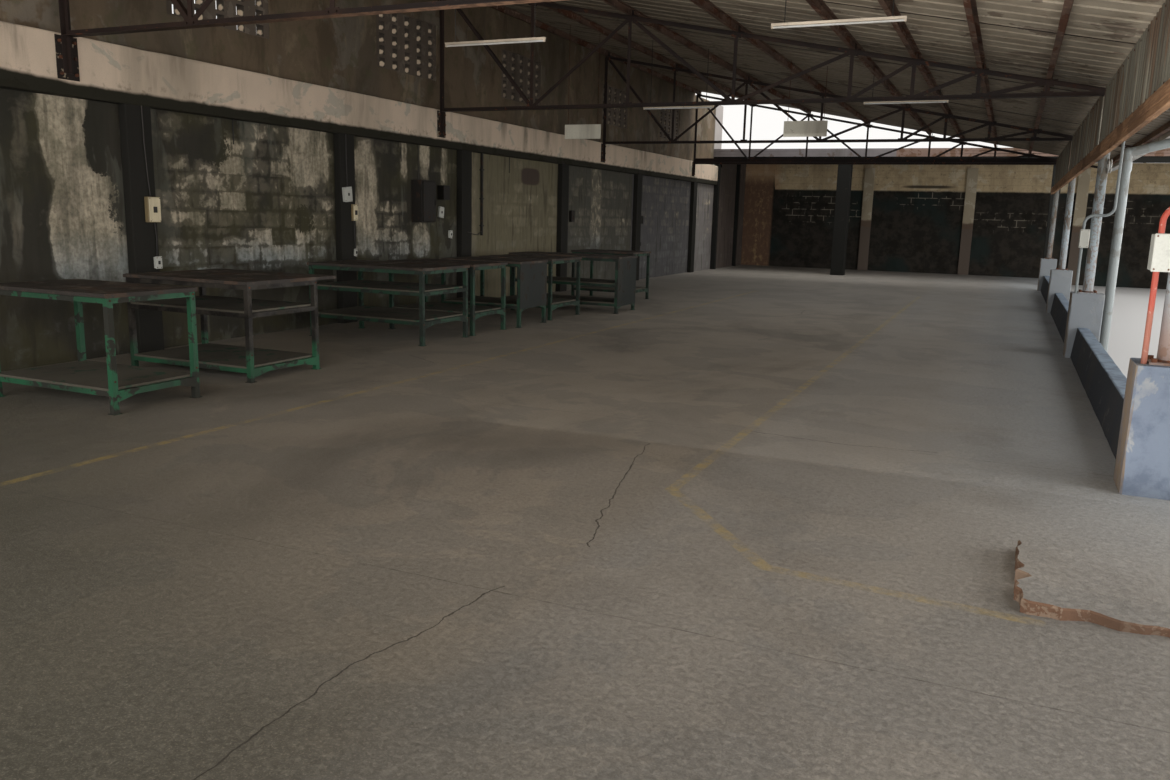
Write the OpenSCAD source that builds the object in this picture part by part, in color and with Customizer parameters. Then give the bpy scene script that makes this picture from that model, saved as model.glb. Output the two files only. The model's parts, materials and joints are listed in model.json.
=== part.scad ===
// Open-sided factory hall: a block wall on one side, steel trusses under a single slope,
// posts on concrete piers along the open side, and a low covered strip at the far end.
// X runs from the block wall to the open side, Y runs along the hall and Z is up.
// Inside the modules x = 0 is the inner face of the block wall, y = 0 is the second
// frame line and z = 0 is the top of the floor.

/* [Hall] */
// Distance between two roof frames
bay = 6200; // [5600:100:6800]
// Number of whole bays under the sloping roof
hall_bays = 4; // [4:1:6]
// Inner face of the block wall to the centre line of the posts
post_line = 8950; // [8500:50:9400]
// Open gap between the last frame and the low covered strip
strip_gap = 2350; // [2000:50:2700]
// Depth of the low covered strip
strip_depth = 3550; // [3000:50:4200]
// Thickness of the concrete floor
floor_t = 150; // [120:10:200]

/* [Walls] */
// Thickness of the lower block wall
wall_t = 200; // [180:10:240]
// Height of the lower block wall
wall_h = 2450; // [2350:10:2500]
// Height of the ring beam
ring_h = 540; // [480:10:600]
// How far the ring beam stands out from the block wall
ring_out = 100; // [80:5:140]
// How far the upper wall is set back from the block wall
upper_back = 50; // [40:5:80]
// Width of a wall pilaster
pilaster_w = 300; // [240:10:360]
// Height of the rear wall above the floor
rear_wall_h = 3300; // [3200:10:3400]
// How far the rear wall runs on past the post line
rear_run_on = 4150; // [3800:50:4400]
// Distance between the pilasters of the rear wall
rear_gap = 2950; // [2700:50:3200]
// How far the rear pilasters stand out from the rear wall
rear_pilaster_out = 80; // [50:5:120]

/* [Vents] */
// Width of a block vent in the upper wall
vent_w = 1500; // [1300:50:1600]
// Height of a block vent
vent_h = 800; // [720:20:860]
// Sill of the vents above the ring beam
vent_sill = 430; // [380:10:480]
// Width of one hole in a vent
vent_hole = 120; // [90:5:125]
// Number of holes across a vent
vent_cols = 5; // [4:1:6]
// Number of holes up a vent
vent_rows = 5; // [3:1:5]

/* [Trusses] */
// Underside of the trusses below the top of the ring beam
truss_drop = 25; // [10:5:60]
// Rise of the top chord at the block wall
truss_rise = 1730; // [1690:10:1750]
// Depth of both chords
chord_h = 50; // [40:5:60]
// Width of the chord flanges
chord_w = 100; // [80:5:106]
// Thickness of the steel legs
leg_t = 8; // [6:1:12]
// Width of the web bars
web_w = 45; // [35:5:60]
// Depth of a purlin
purlin_h = 100; // [80:5:125]
// Width of a purlin
purlin_w = 60; // [40:5:75]

/* [Roof] */
// Depth of the ribs of the roof sheets
rib_h = 28; // [20:1:40]
// Distance between two ribs
rib_gap = 310; // [250:10:400]
// Thickness of the roof sheets
sheet_t = 4; // [3:0.5:6]
// Overhang of the roof past the first and the last frame
verge = 350; // [250:10:450]
// Overhang of the roof past the post line
eaves_out = 1050; // [900:10:1150]

/* [Open side] */
// Size of a concrete pier along the hall
pier_l = 360; // [300:10:420]
// Size of a concrete pier across the hall
pier_w = 340; // [300:10:380]
// Height of the piers
pier_h = 750; // [650:10:850]
// Outer diameter of the steel posts
post_d = 110; // [89:1:125]
// Wall of the steel posts
post_wall = 5; // [4:0.5:8]
// Height of the kerb between the piers
kerb_h = 360; // [300:10:420]
// Width of the top of the kerb
kerb_w = 120; // [100:5:140]
// Batter of the inner face of the kerb
kerb_batter = 40; // [20:5:60]
// Underside of the eaves rail above the floor
rail_z = 2250; // [2150:10:2350]
// Depth of the eaves rail
rail_h = 150; // [120:5:180]
// Thickness of the eaves rail
rail_w = 60; // [40:5:75]

/* [Benches] */
// Height of the work benches
bench_h = 870; // [820:10:920]
// Section of the bench legs
bench_leg = 45; // [35:5:55]
// Thickness of the bench tops
bench_top_t = 30; // [20:2:40]
// Height of the shelf of the first bench
shelf_z = 170; // [150:10:260]

/* [Hidden] */
$fn = 32;

// Frame lines: frame 0 is the near end and the last one stands before the low strip
function frame_y(i) = (i - 1) * bay;
hall_start = frame_y(0) - verge;
hall_end = frame_y(hall_bays);
hall_len = hall_bays * bay + 2 * verge;
strip_front = hall_end + strip_gap;
rear_face = strip_front + strip_depth;
rear_out = rear_face + wall_t;
ring_top = wall_h + ring_h;
truss_z = ring_top - truss_drop;
// The upper wall runs on a little over the side of the low strip
upper_run_on = 750;
upper_end = strip_front + upper_run_on;

// Top chord line from the wall to the heel over the posts
heel_out = 80;
heel = [post_line + heel_out, truss_z + chord_h / 2];
truss_start = ring_out + leg_t;
root = [truss_start + purlin_w / 2, truss_z + truss_rise];
slope = (root.y - heel.y) / (heel.x - root.x);
pitch = atan(slope);
function chord_z(x) = root.y - (x - root.x) * slope;
function purlin_seat(x) = chord_z(x) + chord_h / 2 / cos(pitch);
function sheet_z(x) = purlin_seat(x) + purlin_h / cos(pitch);
wall_top = purlin_seat(0);

// Edges of the roof, and the centre of the footprint, which is the origin of the part
wall_overhang = 100;
roof_left = -wall_t - wall_overhang;
roof_right = post_line + eaves_out;
gutter_lap = 40;
tail_end = roof_right - gutter_lap;
rear_end = post_line + rear_run_on;
centre_x = (roof_left + rear_end) / 2;
centre_y = (hall_start + rear_out) / 2;
module placed() translate([-centre_x, -centre_y, floor_t]) children();

// A flat outline in x and z, made t thick from y
module upright(y, t) translate([0, y + t, 0]) rotate([90, 0, 0]) linear_extrude(t) children();
// The outline of a bar of width w from p to q
function bar(p, q, w) =
  let (d = q - p, n = [-d.y, d.x] / norm(d) * w / 2)
  [p + n, q + n, q - n, p - n];
// A box between two corners
module block(a, b) translate(a) cube(b - a);

// Floor
pier_in = post_line - pier_w / 2;
pier_out = post_line + pier_w / 2;
post_in = post_line - post_d / 2;
module floor_slab() placed() color("dimgray")
  block([0, hall_start, -floor_t], [pier_out, rear_face, 0]);

// Block wall, its pilasters and the ring beam over them
module left_wall() placed() color("darkslategray")
  block([-wall_t, hall_start, -floor_t], [0, strip_front, wall_h]);

// Centres of the pilasters as shares of a bay from the second frame
PILASTER_AT = [-0.88, -0.36, 0.12, 0.64, 1.12, 1.71, 2.36, 3.05];
module wall_pilasters() placed() color("black")
  for (s = PILASTER_AT) translate([0, s * bay - pilaster_w / 2, 0])
    cube([ring_out, pilaster_w, wall_h]);

module ring_beam() placed() color("antiquewhite")
  block([-wall_t, hall_start, wall_h], [ring_out, strip_front, ring_top]);

// Upper wall with openings for the block vents, at these shares of a bay
VENT_AT = [-0.80, -0.24, 0.33, 0.9, 1.46, 2.16, 2.74];
vent_z = ring_top + vent_sill;
module upper_wall() placed() color("gray")
  difference() {
    block([-wall_t, hall_start, ring_top], [-upper_back, upper_end, wall_top]);
    for (s = VENT_AT) translate([-wall_t - 1, s * bay - vent_w / 2, vent_z])
      cube([wall_t, vent_w, vent_h]);
  }

// One vent in its opening, with square holes right through
vent_inset = 20;
module vent() {
  vent_t = wall_t - upper_back - 2 * vent_inset;
  cell_w = vent_w / vent_cols;
  cell_h = vent_h / vent_rows;
  rotate([90, 0, 90]) linear_extrude(vent_t) difference() {
    translate([-vent_w / 2, 0]) square([vent_w, vent_h]);
    for (i = [0 : vent_cols - 1], j = [0 : vent_rows - 1])
      translate([(i + 0.5) * cell_w - vent_w / 2, (j + 0.5) * cell_h])
        square(vent_hole, center = true);
  }
}
module vent_blocks() placed() color("silver")
  for (s = VENT_AT) translate([vent_inset - wall_t, s * bay, vent_z]) vent();

// Walls round the low strip
strip_rafter_h = 100;
strip_roof_z = rear_wall_h + strip_rafter_h;
module strip_side_wall() placed() color("dimgray") {
  block([-wall_t, strip_front, -floor_t], [0, rear_face, ring_top]);
  block([-wall_t, upper_end, ring_top], [0, rear_face, strip_roof_z]);
}
module rear_wall() placed() color("khaki")
  block([-wall_t, rear_face, -floor_t], [rear_end, rear_out, rear_wall_h]);

// The rear pilasters start one gap from the corner panel
first_pilaster = 970;
rear_pilasters_n = floor((rear_end - first_pilaster) / rear_gap);
module rear_pilasters() placed() color("tan")
  for (i = [1 : rear_pilasters_n]) {
    x = first_pilaster + i * rear_gap - pilaster_w / 2;
    foot = x < pier_out ? 0 : -floor_t;
    block([x, rear_face - rear_pilaster_out, foot], [x + pilaster_w, rear_face, rear_wall_h - 160]);
  }

// Panel points of a truss as shares of its span
PANELS = [1 / 6, 1 / 3, 1 / 2, 2 / 3, 3 / 4, 5 / 6, 11 / 12];
function low(s) = [root.x + s * (heel.x - root.x), heel.y];
function high(s) = [low(s).x, chord_z(low(s).x)];
chord_end = post_line + 40;
chord_rise = chord_h / 2 / cos(pitch);

// The web bars of a truss, from the end post to the heel
WEB = concat(
  [for (s = PANELS) [low(s), high(s)]],
  [[root, low(PANELS[0])], [low(PANELS[0]), high(PANELS[1])], [high(PANELS[1]), low(PANELS[2])]],
  [for (i = [2 : 5]) [low(PANELS[i]), high(PANELS[i + 1])]]
);
// One leg of an angle bar seen end on, along the upper side of the bar from p to q
function edge(p, q, w, t) =
  let (d = q - p, n = [-d.y, d.x] / norm(d))
  [p + n * w / 2, q + n * w / 2, q + n * (w / 2 - t), p + n * (w / 2 - t)];
gusset_l = 130;
gusset_h = 40;

// The top chord runs on past the heel as a tail that carries the eaves
module top_chord(low_side) difference() {
  polygon([[truss_start, chord_z(truss_start) + chord_rise],
           [tail_end, chord_z(tail_end) + chord_rise],
           [tail_end, chord_z(tail_end) - low_side],
           [truss_start, chord_z(truss_start) - low_side]]);
  translate([heel.x - bay / 2, truss_z - chord_h]) square([bay / 2 + post_d, chord_h]);
}

// Plates where the web bars meet the chords
module gussets() for (s = PANELS) {
  translate([low(s).x - gusset_l / 2, truss_z]) square([gusset_l, chord_h / 2 + gusset_h]);
  polygon([high(s) + [-gusset_l / 2, slope * gusset_l / 2], high(s) + [gusset_l / 2, -slope * gusset_l / 2],
           high(s) + [gusset_l / 2, -slope * gusset_l / 2 - gusset_h],
           high(s) + [-gusset_l / 2, slope * gusset_l / 2 - gusset_h]]);
}

module truss(y) {
  post_foot = truss_z - 320;
  upright(y - leg_t / 2, leg_t) {
    translate([truss_start, truss_z]) square([chord_end - truss_start, chord_h]);
    translate([truss_start, post_foot]) square([web_w, root.y - post_foot]);
    top_chord(chord_rise);
    for (b = WEB) polygon(bar(b[0], b[1], web_w));
    gussets();
  }
  upright(y, web_w) for (b = WEB) polygon(edge(b[0], b[1], web_w, leg_t));
  // Flanges of the bottom chord, the end post and the top chord
  upright(y - chord_w / 2, chord_w) {
    translate([truss_start, truss_z]) square([chord_end - truss_start, leg_t]);
    translate([truss_start, post_foot]) square([leg_t, root.y - post_foot]);
    top_chord(leg_t - chord_rise);
  }
}
module truss_1() placed() color("saddlebrown") truss(frame_y(0));
module truss_2() placed() color("saddlebrown") truss(frame_y(1));
module truss_3() placed() color("saddlebrown") truss(frame_y(2));
module truss_4() placed() color("saddlebrown") truss(frame_y(3));
module truss_5() placed() color("saddlebrown") for (i = [4 : hall_bays]) truss(frame_y(i));

// Plates that hold the end posts to the ring beam
shoe_w = 220;
shoe_h = 380;
shoe_drop = 20;
module truss_shoes() placed() color("sienna")
  for (i = [0 : hall_bays]) translate([ring_out, frame_y(i) - shoe_w / 2, ring_top - shoe_drop - shoe_h])
    cube([leg_t, shoe_w, shoe_h]);

// Channel that stiffens the bottom chord of the last truss
beam_front = hall_end + chord_w / 2;
beam_w = 75;
beam_h = 150;
beam_z = truss_z - 50;
module end_beam() placed() color("black")
  block([truss_start, beam_front, beam_z],
        [post_in, beam_front + beam_w, beam_z + beam_h]);

// Purlins of channel section along the hall
purlin_wall = 4;
module purlin(x) translate([x, hall_start + 20, purlin_seat(x)]) rotate([0, pitch, 0])
  translate([0, hall_len - 40, 0]) rotate([90, 0, 0]) linear_extrude(hall_len - 40)
    difference() {
      translate([-purlin_w / 2, 0]) square([purlin_w, purlin_h]);
      translate([purlin_wall - purlin_w / 2, purlin_wall])
        square([purlin_w, purlin_h - 2 * purlin_wall]);
    }
module purlins() placed() color("brown") {
  for (s = concat([0], PANELS, [1])) purlin(low(s).x);
  purlin(tail_end - purlin_w);
}

// Ribbed roof sheets: the ribs run down the slope
ribs = floor(hall_len / rib_gap);
function rib_line(up) = [
  for (i = [0 : ribs - 1], k = [0 : 3])
    [(i + 0.5) * hall_len / ribs + [-40, -20, 20, 40][k], up + [0, rib_h, rib_h, 0][k]]
];
module roof_sheets() placed() color("lightgray")
  translate([roof_left, hall_start, sheet_z(roof_left)]) rotate([0, pitch, 0])
    rotate([90, 0, 90]) linear_extrude((roof_right - roof_left) / cos(pitch))
      polygon(concat([[0, 0]], rib_line(0), [[hall_len, 0], [hall_len, sheet_t]],
        [for (i = [4 * ribs - 1 : -1 : 0]) rib_line(sheet_t)[i]], [[0, sheet_t]]));

// Sloping plate that closes the gap between the upper wall and the sheets
module wall_plate() placed() color("slategray")
  upright(hall_start, hall_len)
    polygon([[-wall_t, wall_top], [-upper_back, wall_top],
             [-upper_back, sheet_z(-upper_back)], [-wall_t, sheet_z(-wall_t)]]);

// Low covered strip: columns, a front beam, rafters, a flat roof and its fascia
column_x = 3700;
column_w = 350;
wall_column_w = 140;
edge_column_w = 220;
strip_beam_w = 120;
strip_beam_h = 200;
rafter_gap = 1250;
rafter_w = 60;
strip_roof_t = 30;
fascia_t = 25;
fascia_h = 220;
fascia_rise = 40;
strip_post_h = rear_wall_h - strip_beam_h;
// Half column on the side wall, behind the front beam
side_column_gap = 2400;
side_column_y = strip_front + side_column_gap;
// Middle and width of each column under the front beam
STRIP_AT = [[wall_column_w / 2, wall_column_w], [column_x, column_w],
            [pier_out - edge_column_w / 2, edge_column_w], [rear_end - column_w / 2, column_w]];
module strip_columns() placed() color("black") {
  for (c = STRIP_AT) {
    foot = c[0] < pier_out ? 0 : -floor_t;
    block([c[0] - c[1] / 2, strip_front, foot], [c[0] + c[1] / 2, strip_front + c[1], strip_post_h]);
  }
  block([0, side_column_y, 0], [ring_out, side_column_y + wall_column_w, rear_wall_h]);
}
module strip_beam() placed() color("black")
  block([-upper_back, strip_front, strip_post_h],
        [rear_end, strip_front + strip_beam_w, rear_wall_h]);
module strip_rafters() placed() color("saddlebrown")
  for (x = [0 : rafter_gap : rear_end - rafter_w])
    block([x, strip_front, rear_wall_h], [x + rafter_w, rear_out, strip_roof_z]);
module strip_roof() placed() color("lightgray")
  block([-upper_back, strip_front, strip_roof_z], [rear_end, rear_out, strip_roof_z + strip_roof_t]);
module strip_fascia() placed() color("silver")
  block([-upper_back, strip_front - fascia_t, strip_roof_z + strip_roof_t + fascia_rise - fascia_h],
        [rear_end, strip_front, strip_roof_z + strip_roof_t + fascia_rise]);

// Concrete piers, and steel posts on them
module piers() placed() color("darkgray")
  for (i = [0 : hall_bays]) translate([pier_in, frame_y(i) - pier_l / 2, 0])
    cube([pier_w, pier_l, pier_h]);

base_plate = 200;
base_plate_t = 12;
cap_plate = 120;
module posts() placed() color("lightsteelblue")
  for (i = [0 : hall_bays]) translate([post_line, frame_y(i), pier_h])
    difference() {
      union() {
        cylinder(d = post_d, h = truss_z - pier_h);
        translate([-base_plate / 2, -base_plate / 2, 0])
          cube([base_plate, base_plate, base_plate_t]);
        translate([-cap_plate / 2, -cap_plate / 2, truss_z - pier_h - base_plate_t])
          cube([cap_plate, cap_plate, base_plate_t]);
      }
      translate([0, 0, -1]) cylinder(d = post_d - 2 * post_wall, h = truss_z - pier_h + 2);
    }

// Kerbs with a battered inner face between the piers, none in the first bay
kerb_in = pier_in + 60;
module kerbs() placed() color("black")
  for (i = [1 : hall_bays - 1])
    upright(frame_y(i) + pier_l / 2, bay - pier_l)
      polygon([[kerb_in, 0], [kerb_in + kerb_batter + kerb_w, 0],
               [kerb_in + kerb_batter + kerb_w, kerb_h], [kerb_in + kerb_batter, kerb_h]]);

// Rail along the inner side of the posts, let into them a little
rail_in = 10;
module eaves_rail() placed() color("peru")
  difference() {
    block([post_in + rail_in - rail_w, hall_start, rail_z],
          [post_in + rail_in, hall_end + verge, rail_z + rail_h]);
    for (i = [0 : hall_bays]) translate([post_line, frame_y(i), rail_z - 1])
      cylinder(d = post_d, h = rail_h + 2);
  }

// Corrugated valance on the rail, one length to each bay
valance_rib = 20;
valance_t = 3;
valance_pitch = 150;
valance_gap = 70;
module valance(len) {
  n = round(len / valance_pitch);
  back = post_in - valance_rib - valance_t;
  function wave(out) = [
    for (i = [0 : n - 1], k = [0 : 3])
      [back + out + [0, valance_rib, valance_rib, 0][k], (i + [0.1, 0.3, 0.6, 0.8][k]) * len / n]
  ];
  linear_extrude(purlin_seat(post_in) - rail_z - rail_h)
    polygon(concat(wave(0), [for (i = [4 * n - 1 : -1 : 0]) wave(valance_t)[i]]));
}
module valance_sheets() placed() color("darkolivegreen")
  for (i = [0 : hall_bays - 1])
    translate([0, frame_y(i) + valance_gap, rail_z + rail_h]) valance(bay - 2 * valance_gap);

// Gutter along the eaves on the ends of the tails, and a pipe down from it
gutter_w = 130;
gutter_h = 110;
gutter_t = 3;
gutter_z = chord_z(tail_end) - chord_rise;
module gutter() placed() color("gainsboro")
  upright(hall_start, hall_len) translate([tail_end, gutter_z]) difference() {
    square([gutter_w, gutter_h]);
    translate([gutter_t, gutter_t]) square([gutter_w - 2 * gutter_t, gutter_h]);
  }

pipe_d = 110;
pipe_x = post_line + 320;
pipe_y = frame_y(2) + 1000;
pipe_foot = 60;
pipe_drop = 380;
pipe_low = gutter_z - pipe_drop;
outlet_x = tail_end + gutter_w / 2;
arm_rise = 200;
elbow_wall = 8;
elbow_d = pipe_d + 2 * elbow_wall;
coupling_z = pipe_low - elbow_d / 2 - 1.4 * pipe_d;
module downpipe() placed() color("gainsboro") {
  run = outlet_x - pipe_x;
  bend_top = pipe_low + arm_rise;
  translate([pipe_x, pipe_y, pipe_foot - floor_t]) cylinder(d = pipe_d, h = pipe_low + floor_t - pipe_foot);
  translate([pipe_x, pipe_y, pipe_low]) rotate([0, atan2(run, arm_rise), 0])
    cylinder(d = pipe_d, h = norm([run, arm_rise]));
  translate([pipe_x, pipe_y, pipe_low]) sphere(d = elbow_d);
  translate([outlet_x, pipe_y, bend_top]) sphere(d = elbow_d);
  translate([pipe_x, pipe_y, coupling_z]) cylinder(d = elbow_d, h = pipe_d);
  translate([outlet_x, pipe_y, bend_top]) cylinder(d = pipe_d, h = gutter_z - bend_top);
}

// Broken concrete pad at the way in, which thins out towards the open side
pad_w = 900;
pad_y = -2300;
pad_run = 800;
pad_t = 60;
pad_end_t = 15;
module entrance_pad() placed() color("gray")
  upright(pad_y, pad_run) polygon([[pier_out - pad_w, 0], [pier_out, 0], [pier_out, pad_end_t],
                                   [pier_out - pad_w, pad_t]]);

// Light battens in the middle of the near bays, each on two rods from the roof
LIGHT_AT = [0.227, 0.636];
light_len = 1230;
light_w = 45;
light_z = truss_z + 320;
rod_in = 120;
rod_d = 10;
// Two rods from height z up to the sheets, w apart, in the plane at y
module rods(x, y, z, w) intersection() {
  for (k = [0, w]) translate([x + k, y, z]) cylinder(d = rod_d, h = truss_rise + bay);
  upright(y - rod_d, 2 * rod_d)
    polygon([[0, 0], [post_line, 0], [post_line, sheet_z(post_line)], [0, sheet_z(0)]]);
}
module light_battens() placed() color("white")
  for (i = [0 : hall_bays - 2], s = LIGHT_AT) {
    y = frame_y(i) + bay / 2;
    translate([low(s).x, y - light_w / 2, light_z]) cube([light_len, light_w, light_w]);
    rods(low(s).x + rod_in, y, light_z + light_w, light_len - 2 * rod_in);
  }

// Two bare boards hung on rods in the third bay
SIGN_AT = [0.072, 0.504];
sign_w = 680;
sign_h = 240;
sign_t = 15;
sign_z = truss_z - 170;
sign_gap = 2900;
sign_y = frame_y(2) + sign_gap;
module sign_boards() placed() color("white")
  for (s = SIGN_AT) {
    translate([low(s).x, sign_y - sign_t / 2, sign_z]) cube([sign_w, sign_t, sign_h]);
    rods(low(s).x + rod_in / 2, sign_y, sign_z + sign_h, sign_w - rod_in);
  }

// Dark boxes on the wall: y, z, width, height and depth. The first is the large board, the next
// its trunk box, and the others follow the pilasters further on
past_board = PILASTER_AT[4] * bay;
board_h = 610;
board_back = 1394;
trunk_gap = 690;
trunk_drop = 270;
board = [past_board - board_back, 1330, 350, board_h, 210];
trunk = [board[0] + trunk_gap, board[1] + board_h - trunk_drop, 170, 220, 120];
box_gap = 400;
far_gap = 240;
box_y = PILASTER_AT[5] * bay + box_gap;
far_y = PILASTER_AT[6] * bay + far_gap;
DARK_BOXES = [board, trunk, [box_y, 1350, 150, 230, 60],
              [far_y, 1320, 180, 190, 60], [far_y, 800, 120, 90, 50]];
module switch_board() placed() color("black")
  for (b = DARK_BOXES) translate([0, b[0], b[1]]) cube([b[4], b[2], b[3]]);

// Pale boxes on the faces of two pilasters and by the board: x of the face, then as above
near_edge = PILASTER_AT[2] * bay + pilaster_w / 2;
next_edge = PILASTER_AT[3] * bay + pilaster_w / 2;
breaker_w = 147;
toggle_w = 80;
WALL_BOXES = [[ring_out, near_edge - breaker_w, 1316, breaker_w, 254, 65],
              [ring_out, near_edge - toggle_w, 848, toggle_w, 125, 40],
              [ring_out, next_edge - 275, 1590, 150, 190, 50],
              [ring_out, next_edge - 95, 1345, 90, 215, 45],
              [ring_out, next_edge - 65, 880, 50, 100, 30],
              [0, trunk[0], board[1] + 70, 130, 165, 40],
              [0, past_board - 409, 1085, toggle_w, 120, 40]];
module wall_boxes() placed() color("beige")
  for (b = WALL_BOXES) translate([b[0], b[1], b[2]]) cube([b[5], b[3], b[4]]);

// Conduit down the wall past that pilaster
conduit_d = 45;
conduit_at = past_board + 600;
conduit_low = 1120;
module wall_conduit() placed() color("dimgray")
  translate([conduit_d / 2, conduit_at, conduit_low]) cylinder(d = conduit_d, h = wall_h - conduit_low);

// Boxes on the second and third posts, cut to the round of the post
box_low = 1270;
box_high = 1480;
box_half = 95;
module post_box() placed() color("beige")
  for (i = [1, 2]) translate([0, frame_y(i), 0]) difference() {
    block([post_in - 100, -box_half, box_low], [post_in + 20, box_half, box_high]);
    translate([post_line, 0, pier_h]) cylinder(d = post_d, h = truss_z - pier_h);
  }

// Conduits: from each box down to its pier, and up and round the near side of the post
thin_d = 32;
bend_r = 100;
stub = 60;
conduit_x = post_in - 70;
conduit_y = -post_d / 2 - thin_d / 2 - 4;
riser_x = post_line + 165;
// A quarter bend in x and z from an angle on
module quarter(from) rotate([90, 0, 0]) rotate([0, 0, from]) rotate_extrude(angle = 90)
  translate([bend_r, 0]) circle(d = thin_d);
module post_conduits() placed() color("indianred")
  for (i = [1, 2]) translate([0, frame_y(i) + conduit_y, 0]) {
    bend_z = box_high + stub;
    riser_z = bend_z + 2 * bend_r;
    translate([conduit_x, 0, pier_h]) cylinder(d = thin_d, h = box_low - pier_h);
    translate([conduit_x, 0, box_high]) cylinder(d = thin_d, h = stub);
    translate([conduit_x + bend_r, 0, bend_z]) quarter(90);
    translate([conduit_x + bend_r, 0, bend_z + bend_r]) rotate([0, 90, 0])
      cylinder(d = thin_d, h = riser_x - conduit_x - 2 * bend_r);
    translate([riser_x - bend_r, 0, riser_z]) quarter(-90);
    translate([riser_x, 0, riser_z]) cylinder(d = thin_d, h = sheet_z(riser_x + thin_d) - riser_z);
  }

// Benches: near corner and far corner of the top, height of the shelf, of a middle shelf if there
// is one, and how far the top runs past the far legs; the last number is 1 where one end is closed
BENCHES = [[[980, -1560], [2330, -740], shelf_z, 0, 0, 0],
           [[750, -100], [2220, 1060], shelf_z - 50, 600, 240, 0],
           [[550, 2600], [2170, 3600], shelf_z + 100, 600, 0, 0],
           [[900, 3690], [2170, 4540], shelf_z + 100, 0, 0, 0],
           [[1000, 4750], [2250, 5560], shelf_z + 120, 0, 0, 1],
           [[1000, 5800], [2190, 6830], shelf_z + 45, 0, 0, 0],
           [[700, 7250], [2620, 8050], shelf_z - 20, 450, 0, 1],
           [[900, 9200], [2100, 10100], shelf_z + 30, 0, 0, 0]];
leg_in = 15;
rail_d = 40;
shelf_t = 18;
apron_h = 90;
arch_h = 45;
function legs_a(b) = b[0] + [leg_in, leg_in];
function legs_c(b) = b[1] - [leg_in, leg_in + b[4]];
// A ring of rails between the legs, from height z up
module bench_ring(b, z) {
  a = legs_a(b);
  c = legs_c(b);
  for (y = [a.y, c.y - bench_leg]) block([a.x, y, z], [c.x, y + bench_leg, z + rail_d]);
  for (x = [a.x, c.x - bench_leg]) block([x, a.y, z], [x + bench_leg, c.y, z + rail_d]);
}
module bench_frames() placed() color("seagreen")
  for (b = BENCHES) {
    a = legs_a(b);
    c = legs_c(b);
    for (x = [a.x, c.x - bench_leg], y = [a.y, c.y - bench_leg]) translate([x, y, 0])
      cube([bench_leg, bench_leg, bench_h - bench_top_t]);
    bench_ring(b, bench_h - bench_top_t - rail_d);
    bench_ring(b, b[2] - rail_d);
    if (b[3] > 0) bench_ring(b, b[3] - rail_d);
    // Arched apron under the shelf at the aisle end
    w = c.y - a.y;
    translate([c.x - leg_t, a.y, b[2] - apron_h]) rotate([90, 0, 90]) linear_extrude(leg_t)
      polygon([[0, 0], [w / 4, arch_h], [w * 3 / 4, arch_h], [w, 0], [w, apron_h], [0, apron_h]]);
  }
module bench_tops() placed() color("black")
  for (b = BENCHES) block([b[0].x, b[0].y, bench_h - bench_top_t], [b[1].x, b[1].y, bench_h]);
// Shelves lie on their rails between the legs
module shelf(b, z) {
  a = legs_a(b);
  c = legs_c(b);
  block([a.x + bench_leg, a.y, z], [c.x - bench_leg, c.y, z + shelf_t]);
}
module bench_shelves() placed() color("seagreen")
  for (b = BENCHES) {
    shelf(b, b[2]);
    if (b[3] > 0) shelf(b, b[3]);
  }
// Sheet that closes the aisle end of two benches
panel_t = 6;
module bench_panels() placed() color("darkslategray")
  for (b = BENCHES) if (b[5] == 1)
    block([legs_c(b).x, legs_a(b).y, b[2] - rail_d],
          [legs_c(b).x + panel_t, legs_c(b).y, bench_h - bench_top_t]);

floor_slab();
left_wall();
wall_pilasters();
ring_beam();
upper_wall();
vent_blocks();
strip_side_wall();
rear_wall();
rear_pilasters();
truss_1();
truss_2();
truss_3();
truss_4();
truss_5();
truss_shoes();
end_beam();
purlins();
roof_sheets();
wall_plate();
strip_columns();
strip_beam();
strip_rafters();
strip_roof();
strip_fascia();
piers();
posts();
kerbs();
eaves_rail();
valance_sheets();
gutter();
downpipe();
entrance_pad();
light_battens();
sign_boards();
wall_boxes();
switch_board();
wall_conduit();
post_box();
post_conduits();
bench_frames();
bench_tops();
bench_shelves();
bench_panels();
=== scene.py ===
import functools
import itertools
import json
import math

import bmesh
import bpy
from mathutils import Matrix, Vector, noise


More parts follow.
